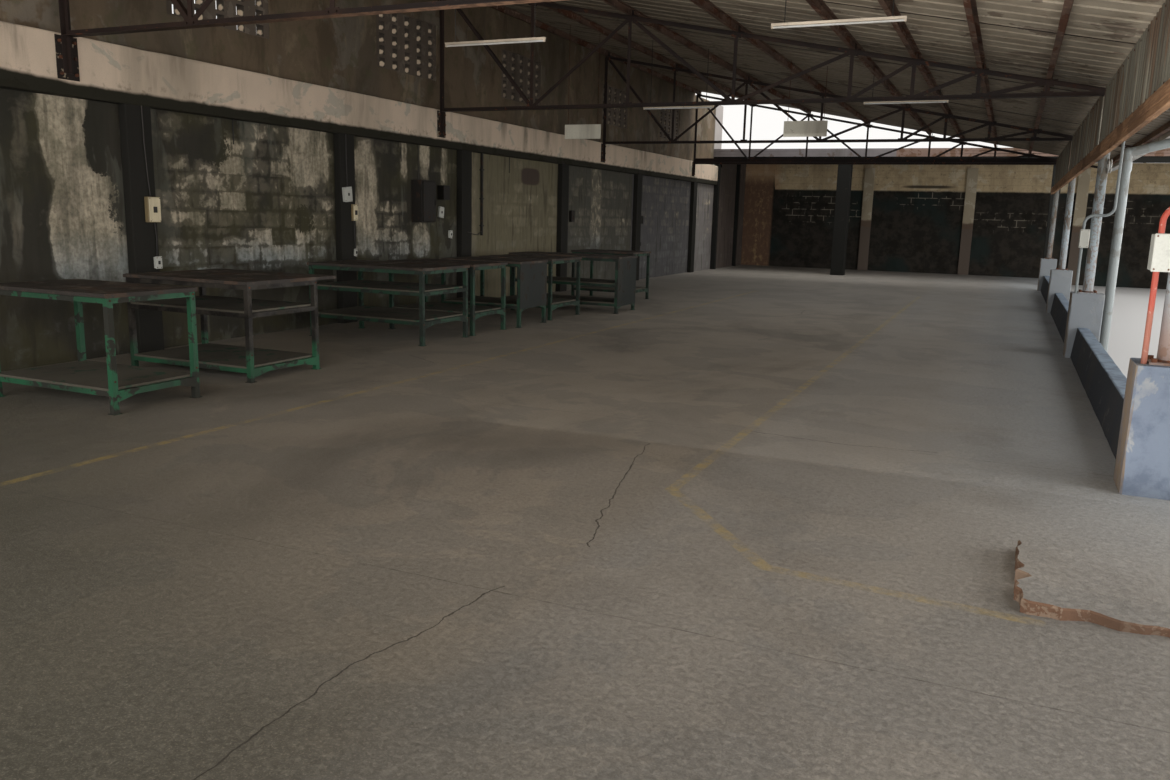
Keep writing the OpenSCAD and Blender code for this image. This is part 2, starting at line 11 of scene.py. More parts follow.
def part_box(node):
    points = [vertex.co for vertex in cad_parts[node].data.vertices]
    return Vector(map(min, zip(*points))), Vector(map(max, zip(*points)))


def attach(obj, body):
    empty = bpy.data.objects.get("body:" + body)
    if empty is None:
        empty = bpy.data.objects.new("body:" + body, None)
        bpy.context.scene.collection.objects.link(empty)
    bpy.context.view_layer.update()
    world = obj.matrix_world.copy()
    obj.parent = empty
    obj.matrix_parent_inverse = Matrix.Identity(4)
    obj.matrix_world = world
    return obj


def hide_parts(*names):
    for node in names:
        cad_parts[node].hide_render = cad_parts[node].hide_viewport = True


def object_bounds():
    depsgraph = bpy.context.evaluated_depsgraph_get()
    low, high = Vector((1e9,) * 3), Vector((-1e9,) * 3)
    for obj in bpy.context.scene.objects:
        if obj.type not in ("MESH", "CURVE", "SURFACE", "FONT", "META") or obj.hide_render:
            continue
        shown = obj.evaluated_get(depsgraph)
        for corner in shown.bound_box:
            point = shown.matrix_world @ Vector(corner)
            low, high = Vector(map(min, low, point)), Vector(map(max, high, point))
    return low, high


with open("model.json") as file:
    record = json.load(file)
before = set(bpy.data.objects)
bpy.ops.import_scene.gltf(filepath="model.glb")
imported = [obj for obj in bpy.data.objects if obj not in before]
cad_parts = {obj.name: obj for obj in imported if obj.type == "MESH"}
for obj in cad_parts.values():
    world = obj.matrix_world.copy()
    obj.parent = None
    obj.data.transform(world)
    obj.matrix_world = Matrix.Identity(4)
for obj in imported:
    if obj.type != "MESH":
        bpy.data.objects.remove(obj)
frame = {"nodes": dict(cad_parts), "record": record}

bl_info = {
    "name": "Factory Hall Dressing",
    "version": (1, 0, 0),
    "blender": (4, 5, 0),
    "location": "View3D > Sidebar > Hall",
    "description": "Finishes and fine parts for an open-sided factory hall",
    "category": "Object",
}

CAD_BOUNDS = [list(corner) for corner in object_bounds()]


def span(node):
    """Lowest and highest corner of a CAD node, as vectors."""
    low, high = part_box(node)
    return Vector(low), Vector(high)


# The hall's own frame: x from the block wall, y from the second truss, z from the floor. TRUSS_Z is
# the foot of the bottom chord, and the tail of the top chord hangs TAIL_DROP below it
WALL_X = span("left_wall")[1].x
FLOOR_Z = span("floor_slab")[1].z
TRUSSES = ["truss_%d" % i for i in range(1, 6)]
FRAME_Y = [(span(t)[0].y + span(t)[1].y) / 2 for t in TRUSSES]
ORIGIN = Vector((WALL_X, FRAME_Y[1], FLOOR_Z))
TAIL_DROP = 0.32
TRUSS_Z = span("truss_1")[0].z + TAIL_DROP
CHORD = 0.05
PURLIN_H = 0.10
HEEL_X = span("piers")[0].x + 0.25
POST_X = span("piers")[0].x + 0.17
POST_R = 0.055


def hall(x, y, z):
    """A point of the hall's own frame in the shared frame."""
    return ORIGIN + Vector((x, y, z))


WEB_START = hall(0.138, 0, 0).x


def roof_line():
    """Height at the left edge, left edge and slope of the underside of the roof sheets."""
    points = [v.co for v in frame["nodes"]["roof_sheets"].data.vertices]
    left = min(points, key=lambda p: (round(p.x, 4), p.z))
    right = min(points, key=lambda p: p.z)
    return left.z, left.x, (left.z - right.z) / (right.x - left.x)


ROOF_Z, ROOF_X, SLOPE = roof_line()
PITCH = math.atan(SLOPE)


def roof_z(x):
    """Underside of the roof sheets at x."""
    return ROOF_Z - (x - ROOF_X) * SLOPE


def size(text, default, about):
    """A length that a user may change."""
    return bpy.props.FloatProperty(name=text, description=about, default=default, min=0.0005, max=5.0,
                                   unit="LENGTH", precision=4)


def tint(text, default, about):
    """A colour that a user may change."""
    return bpy.props.FloatVectorProperty(name=text, description=about, default=default, size=3, min=0.0,
                                         max=1.0, subtype="COLOR")


class HallSizes(bpy.types.PropertyGroup):
    """Sizes of the fine parts."""
    block_length: size("Block length", 0.40, "Length of a wall block with one joint")
    block_height: size("Block height", 0.20, "Height of a wall block with one joint")
    joint: size("Joint", 0.004, "Width of the mortar joints")
    bolt: size("Bolt", 0.011, "Radius of the bolt heads")
    chip: size("Chip", 0.010, "Usual depth of the chips along concrete edges")
    lap: size("Lap", 3.72, "Distance between the laps of the roof sheets")
    tube: size("Lamp", 0.011, "Radius of the lamp tubes")
    cable: size("Cable", 0.006, "Radius of the surface cables")


class HallColours(bpy.types.PropertyGroup):
    """Colours of the main finishes."""
    dark: tint("Wall paint", (0.026, 0.024, 0.017), "Old dark paint of the block wall")
    block: tint("Bare block", (0.56, 0.475, 0.345), "Pale blocks where the paint is gone")
    ring: tint("Ring beam", (0.68, 0.54, 0.41), "Plaster of the ring beam")
    plaster: tint("Upper plaster", (0.150, 0.108, 0.068), "Plaster of the upper wall")
    ochre: tint("Rear wall", (0.56, 0.44, 0.27), "Bare blocks of the rear wall")
    steel: tint("Truss paint", (0.018, 0.012, 0.010), "Dark paint of the trusses")
    rust: tint("Rust", (0.12, 0.048, 0.026), "Rust on steel")
    purlin: tint("Purlin paint", (0.150, 0.088, 0.060), "Red-brown paint of the purlins")
    sheet: tint("Roof sheet", (0.62, 0.53, 0.40), "Roof sheets seen from below")
    post: tint("Post paint", (0.30, 0.36, 0.39), "Grey-blue paint of the posts")
    pier: tint("Pier", (0.110, 0.130, 0.162), "Bare concrete of the piers")
    timber: tint("Timber", (0.48, 0.27, 0.14), "Eaves rail")
    green: tint("Bench paint", (0.022, 0.100, 0.048), "Green paint of the benches")
    floor: tint("Floor", (0.310, 0.268, 0.215), "Worn concrete floor")
    line: tint("Floor line", (0.50, 0.35, 0.08), "Painted lines on the floor")


def sizes():
    return bpy.context.scene.hall_sizes


def colours():
    return bpy.context.scene.hall_colours


# Node building

def rgba(colour):
    return (colour[0], colour[1], colour[2], 1.0)


class Wires:
    """Adds nodes to a tree and joins them."""

    def __init__(self, tree):
        self.tree = tree

    def put(self, socket, value):
        """Gives a socket a value, or a link where the value is a socket."""
        if isinstance(value, bpy.types.NodeSocket):
            self.tree.links.new(value, socket)
        elif value is not None:
            socket.default_value = rgba(value) if socket.type == "RGBA" else value

    def add(self, kind, *values, **settings):
        """A node with its inputs filled in order."""
        node = self.tree.nodes.new(kind)
        for key, value in settings.items():
            setattr(node, key, value)
        for socket, value in zip(node.inputs, values):
            self.put(socket, value)
        return node

    def named(self, kind, sockets, **settings):
        """A node with its inputs filled by name."""
        node = self.add(kind, **settings)
        for key, value in sockets.items():
            self.put(node.inputs[key], value)
        return node

    def math(self, operation, *values):
        return self.add("ShaderNodeMath", *values, operation=operation).outputs[0]

    plus = functools.partialmethod(math, "ADD")
    less = functools.partialmethod(math, "SUBTRACT")
    times = functools.partialmethod(math, "MULTIPLY")
    over = functools.partialmethod(math, "DIVIDE")
    most = functools.partialmethod(math, "MAXIMUM")
    least = functools.partialmethod(math, "MINIMUM")

    def strongest(self, masks):
        return functools.reduce(self.most, masks)

    def rest(self, share):
        """What a share leaves of 1."""
        return self.less(1.0, share)

    def vector(self, operation, *values):
        node = self.add("ShaderNodeVectorMath", *values, operation=operation)
        return node.outputs[1 if operation in ("DOT_PRODUCT", "LENGTH", "DISTANCE") else 0]

    def step(self, value, low, high):
        """0 up to low and 1 from high on, smooth between them."""
        node = self.add("ShaderNodeMapRange", value, low, high, 0.0, 1.0, interpolation_type="SMOOTHSTEP")
        return node.outputs[0]

    def fall(self, value, low, high):
        """1 up to low and 0 from high on."""
        return self.rest(self.step(value, low, high))

    def ease(self, value, low, high, share):
        """A step that ends at a share instead of 1."""
        return self.times(self.step(value, low, high), share)

    def mix(self, share, first, second):
        """A colour between two."""
        node = self.add("ShaderNodeMix", data_type="RGBA")
        self.put(node.inputs[0], share)
        self.put(node.inputs[6], first)
        self.put(node.inputs[7], second)
        return node.outputs[2]

    def tinge(self, colour, mask, share, tone):
        """A colour drawn towards a tone by a share of the mask."""
        return self.mix(self.times(mask, share), colour, tone)

    def blend(self, share, first, second):
        """A number between two."""
        node = self.add("ShaderNodeMix", data_type="FLOAT")
        for slot, value in enumerate((share, None, first, second)):
            self.put(node.inputs[slot], value)
        return node.outputs[0]

    def parts(self, vector):
        return self.add("ShaderNodeSeparateXYZ", vector).outputs

    def stretched(self, vector, *factors):
        """A vector with each axis scaled; a factor under 1 draws a pattern out along that axis."""
        return self.vector("MULTIPLY", vector, factors)

    def joined(self, x, y, z=0.0):
        return self.add("ShaderNodeCombineXYZ", x, y, z).outputs[0]

    def noise(self, vector, scale, detail=4.0, rough=0.55, twist=0.0):
        """Noise around 0.5."""
        sockets = {"Vector": vector, "Scale": scale, "Detail": detail, "Roughness": rough,
                   "Distortion": twist}
        return self.named("ShaderNodeTexNoise", sockets).outputs[0]

    def facing(self, axis):
        """Which way the surface looks along an axis."""
        return self.parts(self.add("ShaderNodeNewGeometry").outputs["Normal"])[axis]

    def dressed(self, solid, material):
        """Geometry with its material, the end of a tree that makes geometry."""
        return self.named("GeometryNodeSetMaterial", {"Geometry": solid, "Material": material}).outputs[0]

    def group(self, name, **sockets):
        """A node group by name; an underscore stands for a space in a socket's name."""
        node = self.add("ShaderNodeGroup")
        node.node_tree = bpy.data.node_groups[name]
        for key, value in sockets.items():
            self.put(node.inputs[key.replace("_", " ")], value)
        return node.outputs

    def hall(self):
        """Object coordinates in the hall's own frame."""
        place = self.add("ShaderNodeTexCoord").outputs["Object"]
        return self.vector("SUBTRACT", place, tuple(ORIGIN))


KINDS = {"f": "NodeSocketFloat", "c": "NodeSocketColor", "v": "NodeSocketVector", "i": "NodeSocketInt",
         "m": "NodeSocketMaterial", "g": "NodeSocketGeometry"}


def turns(count):
    """Angles of a full turn in equal steps."""
    return [2 * math.pi * k / count for k in range(count)]


def new_group(name, inputs, outputs, kind="ShaderNodeTree"):
    """A node group with named sockets, each given as name: letter of its kind."""
    tree = bpy.data.node_groups.new(name, kind)
    for key, letter in inputs.items():
        tree.interface.new_socket(name=key, in_out="INPUT", socket_type=KINDS[letter])
    for key, letter in outputs.items():
        tree.interface.new_socket(name=key, in_out="OUTPUT", socket_type=KINDS[letter])
    w = Wires(tree)
    return w, w.add("NodeGroupInput").outputs, w.add("NodeGroupOutput").inputs


def patches_group():
    """Soft-edged patches; a level of 0.5 covers half of the surface."""
    w, take, give = new_group("Patches", {"Vector": "v", "Stretch": "v", "Scale": "f", "Level": "f",
                                          "Edge": "f"}, {"Mask": "f"})
    spot = w.noise(w.vector("MULTIPLY", take["Vector"], take["Stretch"]), take["Scale"], 5.0, 0.6, 0.4)
    low = w.less(take["Level"], take["Edge"])
    high = w.plus(take["Level"], take["Edge"])
    w.put(give["Mask"], w.step(spot, low, high))


def blocks_group():
    """Blocks in x and y of the vector: joints, way to the nearest edge, and a random tone for each."""
    w, take, give = new_group("Blocks", {"Vector": "v", "Length": "f", "Height": "f", "Joint": "f"},
                              {"Joint": "f", "Tone": "f", "Edge": "f"})
    u, v, _ = w.parts(take["Vector"])
    rise = w.over(v, take["Height"])
    row = w.math("FLOOR", rise)
    along = w.plus(w.over(u, take["Length"]), w.times(w.math("FLOORED_MODULO", row, 2.0), 0.5))
    column = w.math("FLOOR", along)
    tone = w.add("ShaderNodeTexWhiteNoise", w.joined(column, row), noise_dimensions="3D").outputs[0]
    near = []
    for share, whole in ((along, take["Length"]), (rise, take["Height"])):
        part = w.math("FRACT", share)
        near.append(w.times(w.least(part, w.rest(part)), whole))
    edge = w.least(*near)
    gap = w.step(edge, w.times(take["Joint"], 0.5), take["Joint"])
    w.put(give["Edge"], edge)
    w.put(give["Joint"], w.rest(gap))
    w.put(give["Tone"], tone)


def weathered_group():
    """A coat that peels from what is under it, with runs of dirt over both."""
    w, take, give = new_group("Weathered", {
        "Vector": "v", "Paint": "c", "Under": "c", "Stain": "c", "Stretch": "v", "Peel Scale": "f",
        "Peel Level": "f", "Stain Scale": "f", "Stain Level": "f", "Stain Stretch": "v",
        "Paint Roughness": "f", "Under Roughness": "f", "Grain Scale": "f",
    }, {"Color": "c", "Roughness": "f", "Height": "f"})
    place = take["Vector"]
    peel = w.group("Patches", Vector=place, Stretch=take["Stretch"], Scale=take["Peel Scale"],
                   Level=take["Peel Level"], Edge=0.018)[0]
    stain = w.group("Patches", Vector=place, Stretch=take["Stain Stretch"], Scale=take["Stain Scale"],
                    Level=take["Stain Level"], Edge=0.13)[0]
    tone = w.step(w.noise(place, 2.3, 3.0), 0.3, 0.75)
    grain = w.noise(place, take["Grain Scale"], 4.0, 0.65)
    colour = w.mix(peel, take["Paint"], take["Under"])
    colour = w.tinge(colour, tone, 0.30, w.mix(0.5, take["Stain"], colour))
    colour = w.tinge(colour, w.step(grain, 0.45, 0.8), 0.28, take["Stain"])
    colour = w.tinge(colour, stain, 0.72, take["Stain"])
    rough = w.blend(peel, take["Paint Roughness"], take["Under Roughness"])
    w.put(give["Color"], colour)
    w.put(give["Roughness"], w.plus(rough, w.times(grain, 0.12)))
    w.put(give["Height"], w.plus(w.times(grain, 0.55), w.times(w.rest(peel), 0.45)))


MATERIALS = {}


class Look:
    """What a finish hands to its shader, and the steps that change its colour."""

    def __init__(self, w, found):
        self.w = w
        self.colour, self.rough, self.height = found["Color"], found["Roughness"], found["Height"]

    def mix(self, mask, tone):
        self.colour = self.w.mix(mask, self.colour, tone)

    def tinge(self, mask, share, tone):
        self.mix(self.w.times(mask, share), tone)


def finish(name, paint, under, stain, peel, scale, rough, bump, stretch=(1, 1, 1), stain_level=0.58,
           stain_scale=1.1, stain_stretch=(1, 1, 0.16), grain=90.0, gloss=0.2, extra=None):
    """A weathered material; extra may change its colour, roughness and height."""
    material = bpy.data.materials.new(name)
    material.use_nodes = True
    w = Wires(material.node_tree)
    shader = material.node_tree.nodes["Principled BSDF"]
    place = w.hall()
    found = w.group("Weathered", Vector=place, Paint=paint, Under=under, Stain=stain, Stretch=stretch,
                    Peel_Scale=scale, Peel_Level=peel, Stain_Scale=stain_scale, Stain_Level=stain_level,
                    Stain_Stretch=stain_stretch, Paint_Roughness=rough[0], Under_Roughness=rough[1],
                    Grain_Scale=grain)
    look = Look(w, found)
    if extra:
        extra(w, place, look)
    w.put(shader.inputs["Base Color"], look.colour)
    w.put(shader.inputs["Roughness"], look.rough)
    shader.inputs["Specular IOR Level"].default_value = gloss
    sockets = {"Height": look.height, "Distance": bump}
    w.put(shader.inputs["Normal"], w.named("ShaderNodeBump", sockets).outputs[0])
    MATERIALS[name] = material


def band(w, value, low, high, soft):
    """1 between two values, with soft ends."""
    return w.times(w.step(value, low - soft, low + soft), w.fall(value, high - soft, high + soft))


def shaken(w, place, amount, scale):
    """The place, moved about by noise, so that edges run unevenly."""
    field = w.named("ShaderNodeTexNoise", {"Vector": place, "Scale": scale, "Detail": 4.0})
    shift = w.vector("SUBTRACT", field.outputs["Color"], (0.5, 0.5, 0.5))
    return w.vector("ADD", place, w.stretched(shift, amount, amount, amount))


def rects(w, flat, areas, soft):
    """The strongest of the rounded areas of a flat vector; each is start, end, foot, top and strength."""
    spots = []
    for start, end, foot, top, share in areas:
        half = Vector(((end - start) / 2 + soft * 0.5, (top - foot) / 2 + soft * 0.5, 1.0))
        shift = ((start + end) / -2 / half.x, (foot + top) / -2 / half.y, 0.0)
        reach = w.vector("MULTIPLY_ADD", flat, (1 / half.x, 1 / half.y, 0.0), shift)
        reach = w.vector("MULTIPLY", reach, reach)
        reach = w.vector("DOT_PRODUCT", reach, reach)
        edge = min(0.9, 2.0 * soft / min(half.x, half.y))
        spot = w.add("ShaderNodeMapRange", reach, 1.0 - edge, 1.0 + edge * 1.6, share, 0.0)
        spots.append(spot.outputs[0])
    return w.strongest(spots)


# Places of the block wall in y and z where the paint has gone, and how much: first smooth ones, then
# those where single blocks show
PLASTERED = [(-0.46, -0.40, 1.85, 2.25, 0.34), (-0.58, -0.54, 1.0, 1.50, 0.45), (-0.16, 0.50, 0.75, 1.8, 1),
             (-0.20, 0.20, 1.7, 2.7, 1), (-0.05, 0.8, 0.6, 1.15, 0.8), (2.98, 3.68, 1.75, 2.6, 0.74),
             (4.27, 4.70, 0.95, 2.42, 0.8), (5.30, 5.44, 1.95, 2.6, 0.85), (5.80, 6.0, 1.96, 2.6, 0.85),
             (6.36, 6.50, 1.92, 2.6, 0.75), (5.58, 6.0, 0.85, 1.28, 0.7), (7.0, 7.4, 0.85, 2.6, 0.42),
             (12.1, 12.6, 0.8, 2.5, 0.55), (-3.6, -2.9, 0.4, 2.6, 0.8), (-5.6, -5.35, 0.9, 2.5, 0.8)]
BLOCK_ROWS = [(1.05, 1.30, 2.2, 2.45, 0.5), (1.8, 2.2, 1.9, 2.2, 0.62), (2.2, 3.75, 1.05, 2.5, 0.45),
              (1.15, 2.3, 1.32, 1.90, 0.62), (1.1, 3.75, 0.84, 1.06, 0.60), (4.3, 5.2, 0.95, 1.5, 0.58),
              (5.0, 5.4, 0.84, 1.12, 0.72), (-2.6, -1.0, 0.6, 2.2, 0.5), (8.2, 10.6, 1.2, 1.9, 0.22),
              (14.6, 18.9, 0.1, 2.4, 0.22), (11.1, 14.2, 0.7, 2.2, 0.24), (19.2, 20.9, 0.1, 2.4, 0.3)]
# Places where dark paint is left over bare ones
DARK_SPOTS = [(0.30, 0.62, 1.82, 2.42, 1), (0.46, 0.66, 1.2, 1.85, 0.55), (1.45, 1.95, 2.02, 2.32, 0.8),
              (3.1, 3.35, 1.25, 1.5, 0.6)]
# Stretches of the wall in y with a colour of their own, save the pale one from 19.1 to 20.95 under the gap
# between the two roofs, which is painted sky light
TINTS = [(6.98, 10.75, (0.165, 0.142, 0.088), 0.85), (10.75, 14.4, (0.080, 0.076, 0.062), 0.75),
         (14.4, 19.1, (0.092, 0.088, 0.090), 0.85), (19.1, 20.95, (0.230, 0.210, 0.200), 0.75),
         (20.95, 26.0, (0.120, 0.092, 0.080), 0.80)]


def wall_look(w, place, look):
    """Old paint by bays and painted sky light in the gap beyond the roof, bare patches and blocks, drips,
    and a small dark rectangle.
    """
    c, s = colours(), sizes()
    corner = span("left_wall")[0] - ORIGIN
    x, y, z = w.parts(place)
    wall = w.joined(w.less(y, corner.y), w.less(z, corner.z))
    found = w.group("Blocks", Vector=wall, Length=s.block_length, Height=s.block_height, Joint=s.joint)
    tone, edge = found["Tone"], found["Edge"]
    spots = w.noise(place, 5.5, 7.0, 0.62, 0.3)
    fine = w.noise(place, 22.0, 5.0, 0.65)
    runs = w.noise(w.stretched(place, 1, 1, 0.13), 7.0, 5.0, 0.6)
    _, ly, lz = w.parts(shaken(w, place, 0.22, 2.6))
    flat = w.joined(ly, lz)
    look.mix(w.step(w.noise(place, 1.1, 4.0), 0.42, 0.62), (0.046, 0.041, 0.022))
    # The stretch under the gap between the roofs is painted paler as sky light
    for start, end, shade, share in TINTS:
        inside = w.times(band(w, y, start, end, 0.06), share)
        inside = w.times(inside, w.blend(w.step(runs, 0.34, 0.56), 0.72, 1.0))
        look.mix(inside, shade)
    # How bare each place is: its area, mottled, less along the joints where blocks show
    mottle = w.times(w.less(spots, 0.5), 1.5)
    seam = w.fall(w.plus(edge, w.times(fine, 0.06)), 0.03, 0.075)
    single = w.plus(rects(w, flat, BLOCK_ROWS, 0.12), w.times(w.less(tone, 0.5), 0.50))
    single = w.less(w.plus(single, mottle), w.times(seam, 0.26))
    smooth = w.plus(rects(w, flat, PLASTERED, 0.06), w.times(mottle, 0.75))
    left = w.plus(rects(w, flat, DARK_SPOTS, 0.10), w.times(w.less(fine, 0.5), 1.6))
    level = w.less(w.most(single, smooth), w.step(left, 0.35, 0.75))
    bare = w.times(w.step(level, 0.42, 0.74), w.blend(w.step(runs, 0.32, 0.60), 0.42, 1.0))
    film = w.ease(level, 0.05, 0.5, 0.14)
    bare = w.most(w.times(bare, w.blend(w.step(fine, 0.30, 0.64), 0.50, 0.92)), film)
    low = w.fall(lz, 0.80, 1.30)
    block = w.mix(w.step(w.noise(place, 3.0, 4.0), 0.40, 0.62), c.block, (0.31, 0.27, 0.19))
    block = w.tinge(block, low, 0.75, (0.24, 0.28, 0.29))
    indoors = w.step(x, -0.08, -0.04)
    look.mix(w.times(bare, indoors), block)
    drip = w.ease(runs, 0.52, 0.66, 0.55)
    look.mix(drip, (0.026, 0.022, 0.015))
    # A small dark rectangle on the flat wall, high up
    recess = rects(w, w.joined(y, z), [(8.98, 9.66, 2.02, 2.29, 0.9)], 0.02)
    look.mix(w.times(recess, indoors), (0.055, 0.038, 0.030))
    look.height = w.less(look.height, w.times(bare, 0.5))


def ring_look(w, place, look):
    """Plaster with runs and spots, and the dark paint of the wall along its foot."""
    _, y, z = w.parts(shaken(w, place, 0.035, 5.0))
    rise = w.times(w.fall(y, -1.4, 0.4), 0.07)
    low = w.fall(w.less(z, rise), 2.545, 2.585)
    near = w.fall(z, 2.55, 2.75)
    run = w.step(w.noise(w.stretched(place, 1, 1, 0.15), 3.2, 6.0, 0.6), 0.53, 0.70)
    spots = w.step(w.noise(place, 9.0, 6.0, 0.65), 0.52, 0.66)
    stain = w.most(w.times(run, w.step(z, 2.45, 2.95)), w.times(spots, near))
    look.tinge(stain, 0.62, (0.15, 0.12, 0.085))
    look.mix(low, (0.020, 0.018, 0.011))


# Places of the rear wall in x and z where the joints show pale
PALE_JOINTS = [(1.4, 2.9, 1.5, 2.25, 1), (3.3, 3.75, 1.6, 2.0, 1), (5.0, 6.65, 2.02, 2.4, 1),
               (7.15, 9.0, 1.4, 1.8, 0.9), (9.6, 11.6, 1.6, 2.2, 0.8)]


def rear_look(w, place, look):
    """Bare blocks over a dark dado with pale joints, brown at its left end."""
    s = sizes()
    x, y, z = w.parts(place)
    corner = span("rear_wall")[0] - ORIGIN
    wall = w.joined(w.less(x, corner.x), w.less(z, corner.z))
    found = w.group("Blocks", Vector=wall, Length=s.block_length, Height=s.block_height, Joint=0.014)
    joint, tone = found["Joint"], found["Tone"]
    fine = w.noise(place, 5.0, 6.0, 0.6)
    limit = w.blend(w.step(x, 0.95, 1.0), 2.72, 2.47)
    height = w.less(w.plus(z, w.times(fine, 0.05)), limit)
    face = w.less(span("rear_wall")[0].y - ORIGIN.y + 0.03, y)
    inside = w.step(face, 0.0, 0.01)
    soft = w.blend(w.step(x, 0.95, 1.0), 0.45, 0.045)
    low = w.times(w.fall(height, w.times(soft, -0.4), soft), inside)
    dark = w.mix(w.step(fine, 0.40, 0.62), (0.014, 0.012, 0.009), (0.030, 0.025, 0.019))
    dark = w.tinge(dark, tone, 0.10, (0.050, 0.044, 0.035))
    dark = w.mix(w.step(w.noise(place, 0.7, 3.0), 0.5, 0.66), dark, (0.016, 0.023, 0.020))
    spots = w.step(w.noise(w.stretched(place, 1, 1, 0.6), 8.0, 6.0, 0.7), 0.48, 0.66)
    middle = band(w, x, 0.45, 0.62, 0.22)
    brown = w.mix(w.times(spots, w.blend(middle, 0.25, 1.0)), (0.135, 0.078, 0.050), (0.42, 0.29, 0.14))
    dark = w.mix(w.fall(x, 0.88, 0.98), dark, brown)
    pale = w.times(joint, rects(w, w.joined(x, z), PALE_JOINTS, 0.15))
    pale = w.times(pale, w.step(w.noise(place, 5.0, 4.0), 0.46, 0.58))
    dark = w.tinge(dark, pale, 0.7, (0.30, 0.27, 0.21))
    look.tinge(w.step(fine, 0.46, 0.66), 0.55, (0.33, 0.25, 0.155))
    spots = w.step(w.noise(place, 13.0, 6.0, 0.7), 0.57, 0.67)
    look.tinge(spots, 0.6, (0.085, 0.065, 0.045))
    look.tinge(joint, 0.18, (0.13, 0.105, 0.075))
    corner_tint = w.times(w.fall(x, 0.9, 1.3), 0.5)
    look.mix(w.times(corner_tint, inside), (0.42, 0.22, 0.11))
    look.mix(low, dark)
    bar = w.times(rects(w, w.joined(x, z), [(5.0, 6.3, 2.55, 2.62, 0.9)], 0.015), inside)
    look.mix(bar, (0.035, 0.026, 0.020))


def pilaster_look(w, place, look):
    """Brown at its lower part, a little paler at the foot."""
    z = w.parts(shaken(w, place, 0.12, 4.0))[2]
    low = w.fall(z, 1.50, 1.58)
    foot = w.fall(z, 1.33, 1.38)
    look.tinge(low, 0.85, (0.085, 0.050, 0.036))
    look.tinge(foot, 0.7, (0.110, 0.090, 0.074))


def stroke(w, place, start, end, half):
    """1 on a straight stroke between two points of the floor."""
    first, second = Vector((*start, 0)), Vector((*end, 0))
    run = second - first
    flat = w.stretched(place, 1, 1, 0)
    from_first = w.vector("SUBTRACT", flat, tuple(first))
    share = w.over(w.vector("DOT_PRODUCT", from_first, tuple(run)), run.length_squared)
    share = w.least(w.most(share, 0.0), 1.0)
    foot = w.add("ShaderNodeVectorMath", tuple(run), operation="SCALE")
    w.put(foot.inputs["Scale"], share)
    reach = w.vector("LENGTH", w.vector("SUBTRACT", from_first, foot.outputs[0]))
    return w.fall(reach, half * 0.8, half * 1.2)


# Painted lines of the floor as pairs of points in x and y
LINES = [((3.25, -6.5), (3.25, 13.5)), ((6.47, -1.36), (6.47, 14.5)), ((6.48, -1.36), (7.22, -2.28)),
         ((7.22, -2.28), (8.30, -2.36))]
# Cracks of the floor as chains of points in x and y
CRACKS = [[(5.98, -0.4), (6.09, -1.0), (6.18, -1.41), (6.29, -1.93), (6.44, -2.42)],
          [(6.32, -2.98), (6.27, -3.2), (6.26, -3.52), (6.2, -3.72), (6.2, -3.96), (6.22, -4.36),
           (6.25, -4.9)],
          [(6.5, 0.32), (7.1, 0.26), (7.75, 0.33)], [(2.4, 2.0), (2.9, 1.7), (3.5, 1.75)],
          [(4.6, 8.2), (5.1, 8.9), (5.0, 9.8), (5.5, 10.6)]]
# Joints across the floor in y
JOINTS = [-3.06, 0.25, 3.25, 6.25, 9.4, 12.6, 15.6, 18.7]
LINE_HALF, CRACK_HALF = 0.035, 0.0035


def floor_look(w, place, look):
    """Painted sun, sky light and shade by area, damp, grit, worn lines, cracks and joints."""
    x, y, _ = w.parts(place)
    # Painted sunlight: the floor beyond x 6.5, the edge of the roof's shadow, is painted paler
    side = w.ease(x, 6.3, 6.7, 0.35)
    look.mix(side, (0.30, 0.30, 0.295))
    # Painted light: the far floor is painted paler
    look.tinge(w.step(y, 6.0, 14.0), 0.5, (0.30, 0.292, 0.275))
    shade = w.fall(x, 1.5, 5.5)
    look.tinge(shade, 0.3, (0.180, 0.158, 0.120))
    # Painted shadow of the way in, dark on the near floor
    painted_entrance_shadow = w.fall(w.plus(y, w.times(x, 0.6)), -1.6, 1.4)
    look.tinge(painted_entrance_shadow, 0.88, (0.085, 0.079, 0.057))
    # Painted sky light: a cool, paler floor by the near piers
    aisle = w.times(w.step(x, 7.3, 8.7), w.step(y, -3.0, 1.0))
    look.tinge(aisle, 0.7, (0.36, 0.39, 0.41))
    damp = w.step(w.noise(place, 1.3, 5.0, 0.62), 0.50, 0.72)
    look.tinge(damp, 0.34, (0.155, 0.137, 0.115))
    speck = w.step(w.noise(place, 34.0, 8.0, 0.9), 0.42, 0.78)
    look.tinge(speck, 0.50, (0.095, 0.080, 0.060))
    sand = w.noise(place, 130.0, 3.0, 0.7)
    look.tinge(w.step(sand, 0.50, 0.72), 0.40, (0.38, 0.33, 0.26))
    look.height = w.plus(look.height, w.less(sand, w.times(speck, 1.4)))
    marks = w.strongest([stroke(w, place, *ends, LINE_HALF) for ends in LINES])
    worn = w.step(w.noise(place, 7.0, 6.0, 0.7), 0.42, 0.66)
    marks = w.times(marks, w.blend(worn, 0.05, 0.42))
    look.mix(marks, colours().line)
    bent = shaken(w, place, 0.09, 7.0)
    runs = [ends for chain in CRACKS for ends in zip(chain, chain[1:])]
    crack = w.times(w.strongest([stroke(w, bent, *ends, CRACK_HALF) for ends in runs]), 0.8)
    _, by, _ = w.parts(shaken(w, place, 0.02, 3.0))
    for line in JOINTS:
        near = w.math("ABSOLUTE", w.less(by, line))
        near = w.fall(near, 0.002, 0.006)
        crack = w.most(crack, w.times(near, w.blend(worn, 0.15, 0.5)))
    look.mix(crack, (0.050, 0.042, 0.033))
    look.height = w.less(look.height, w.times(crack, 2.0))
    look.rough = w.less(look.rough, w.times(damp, 0.12))


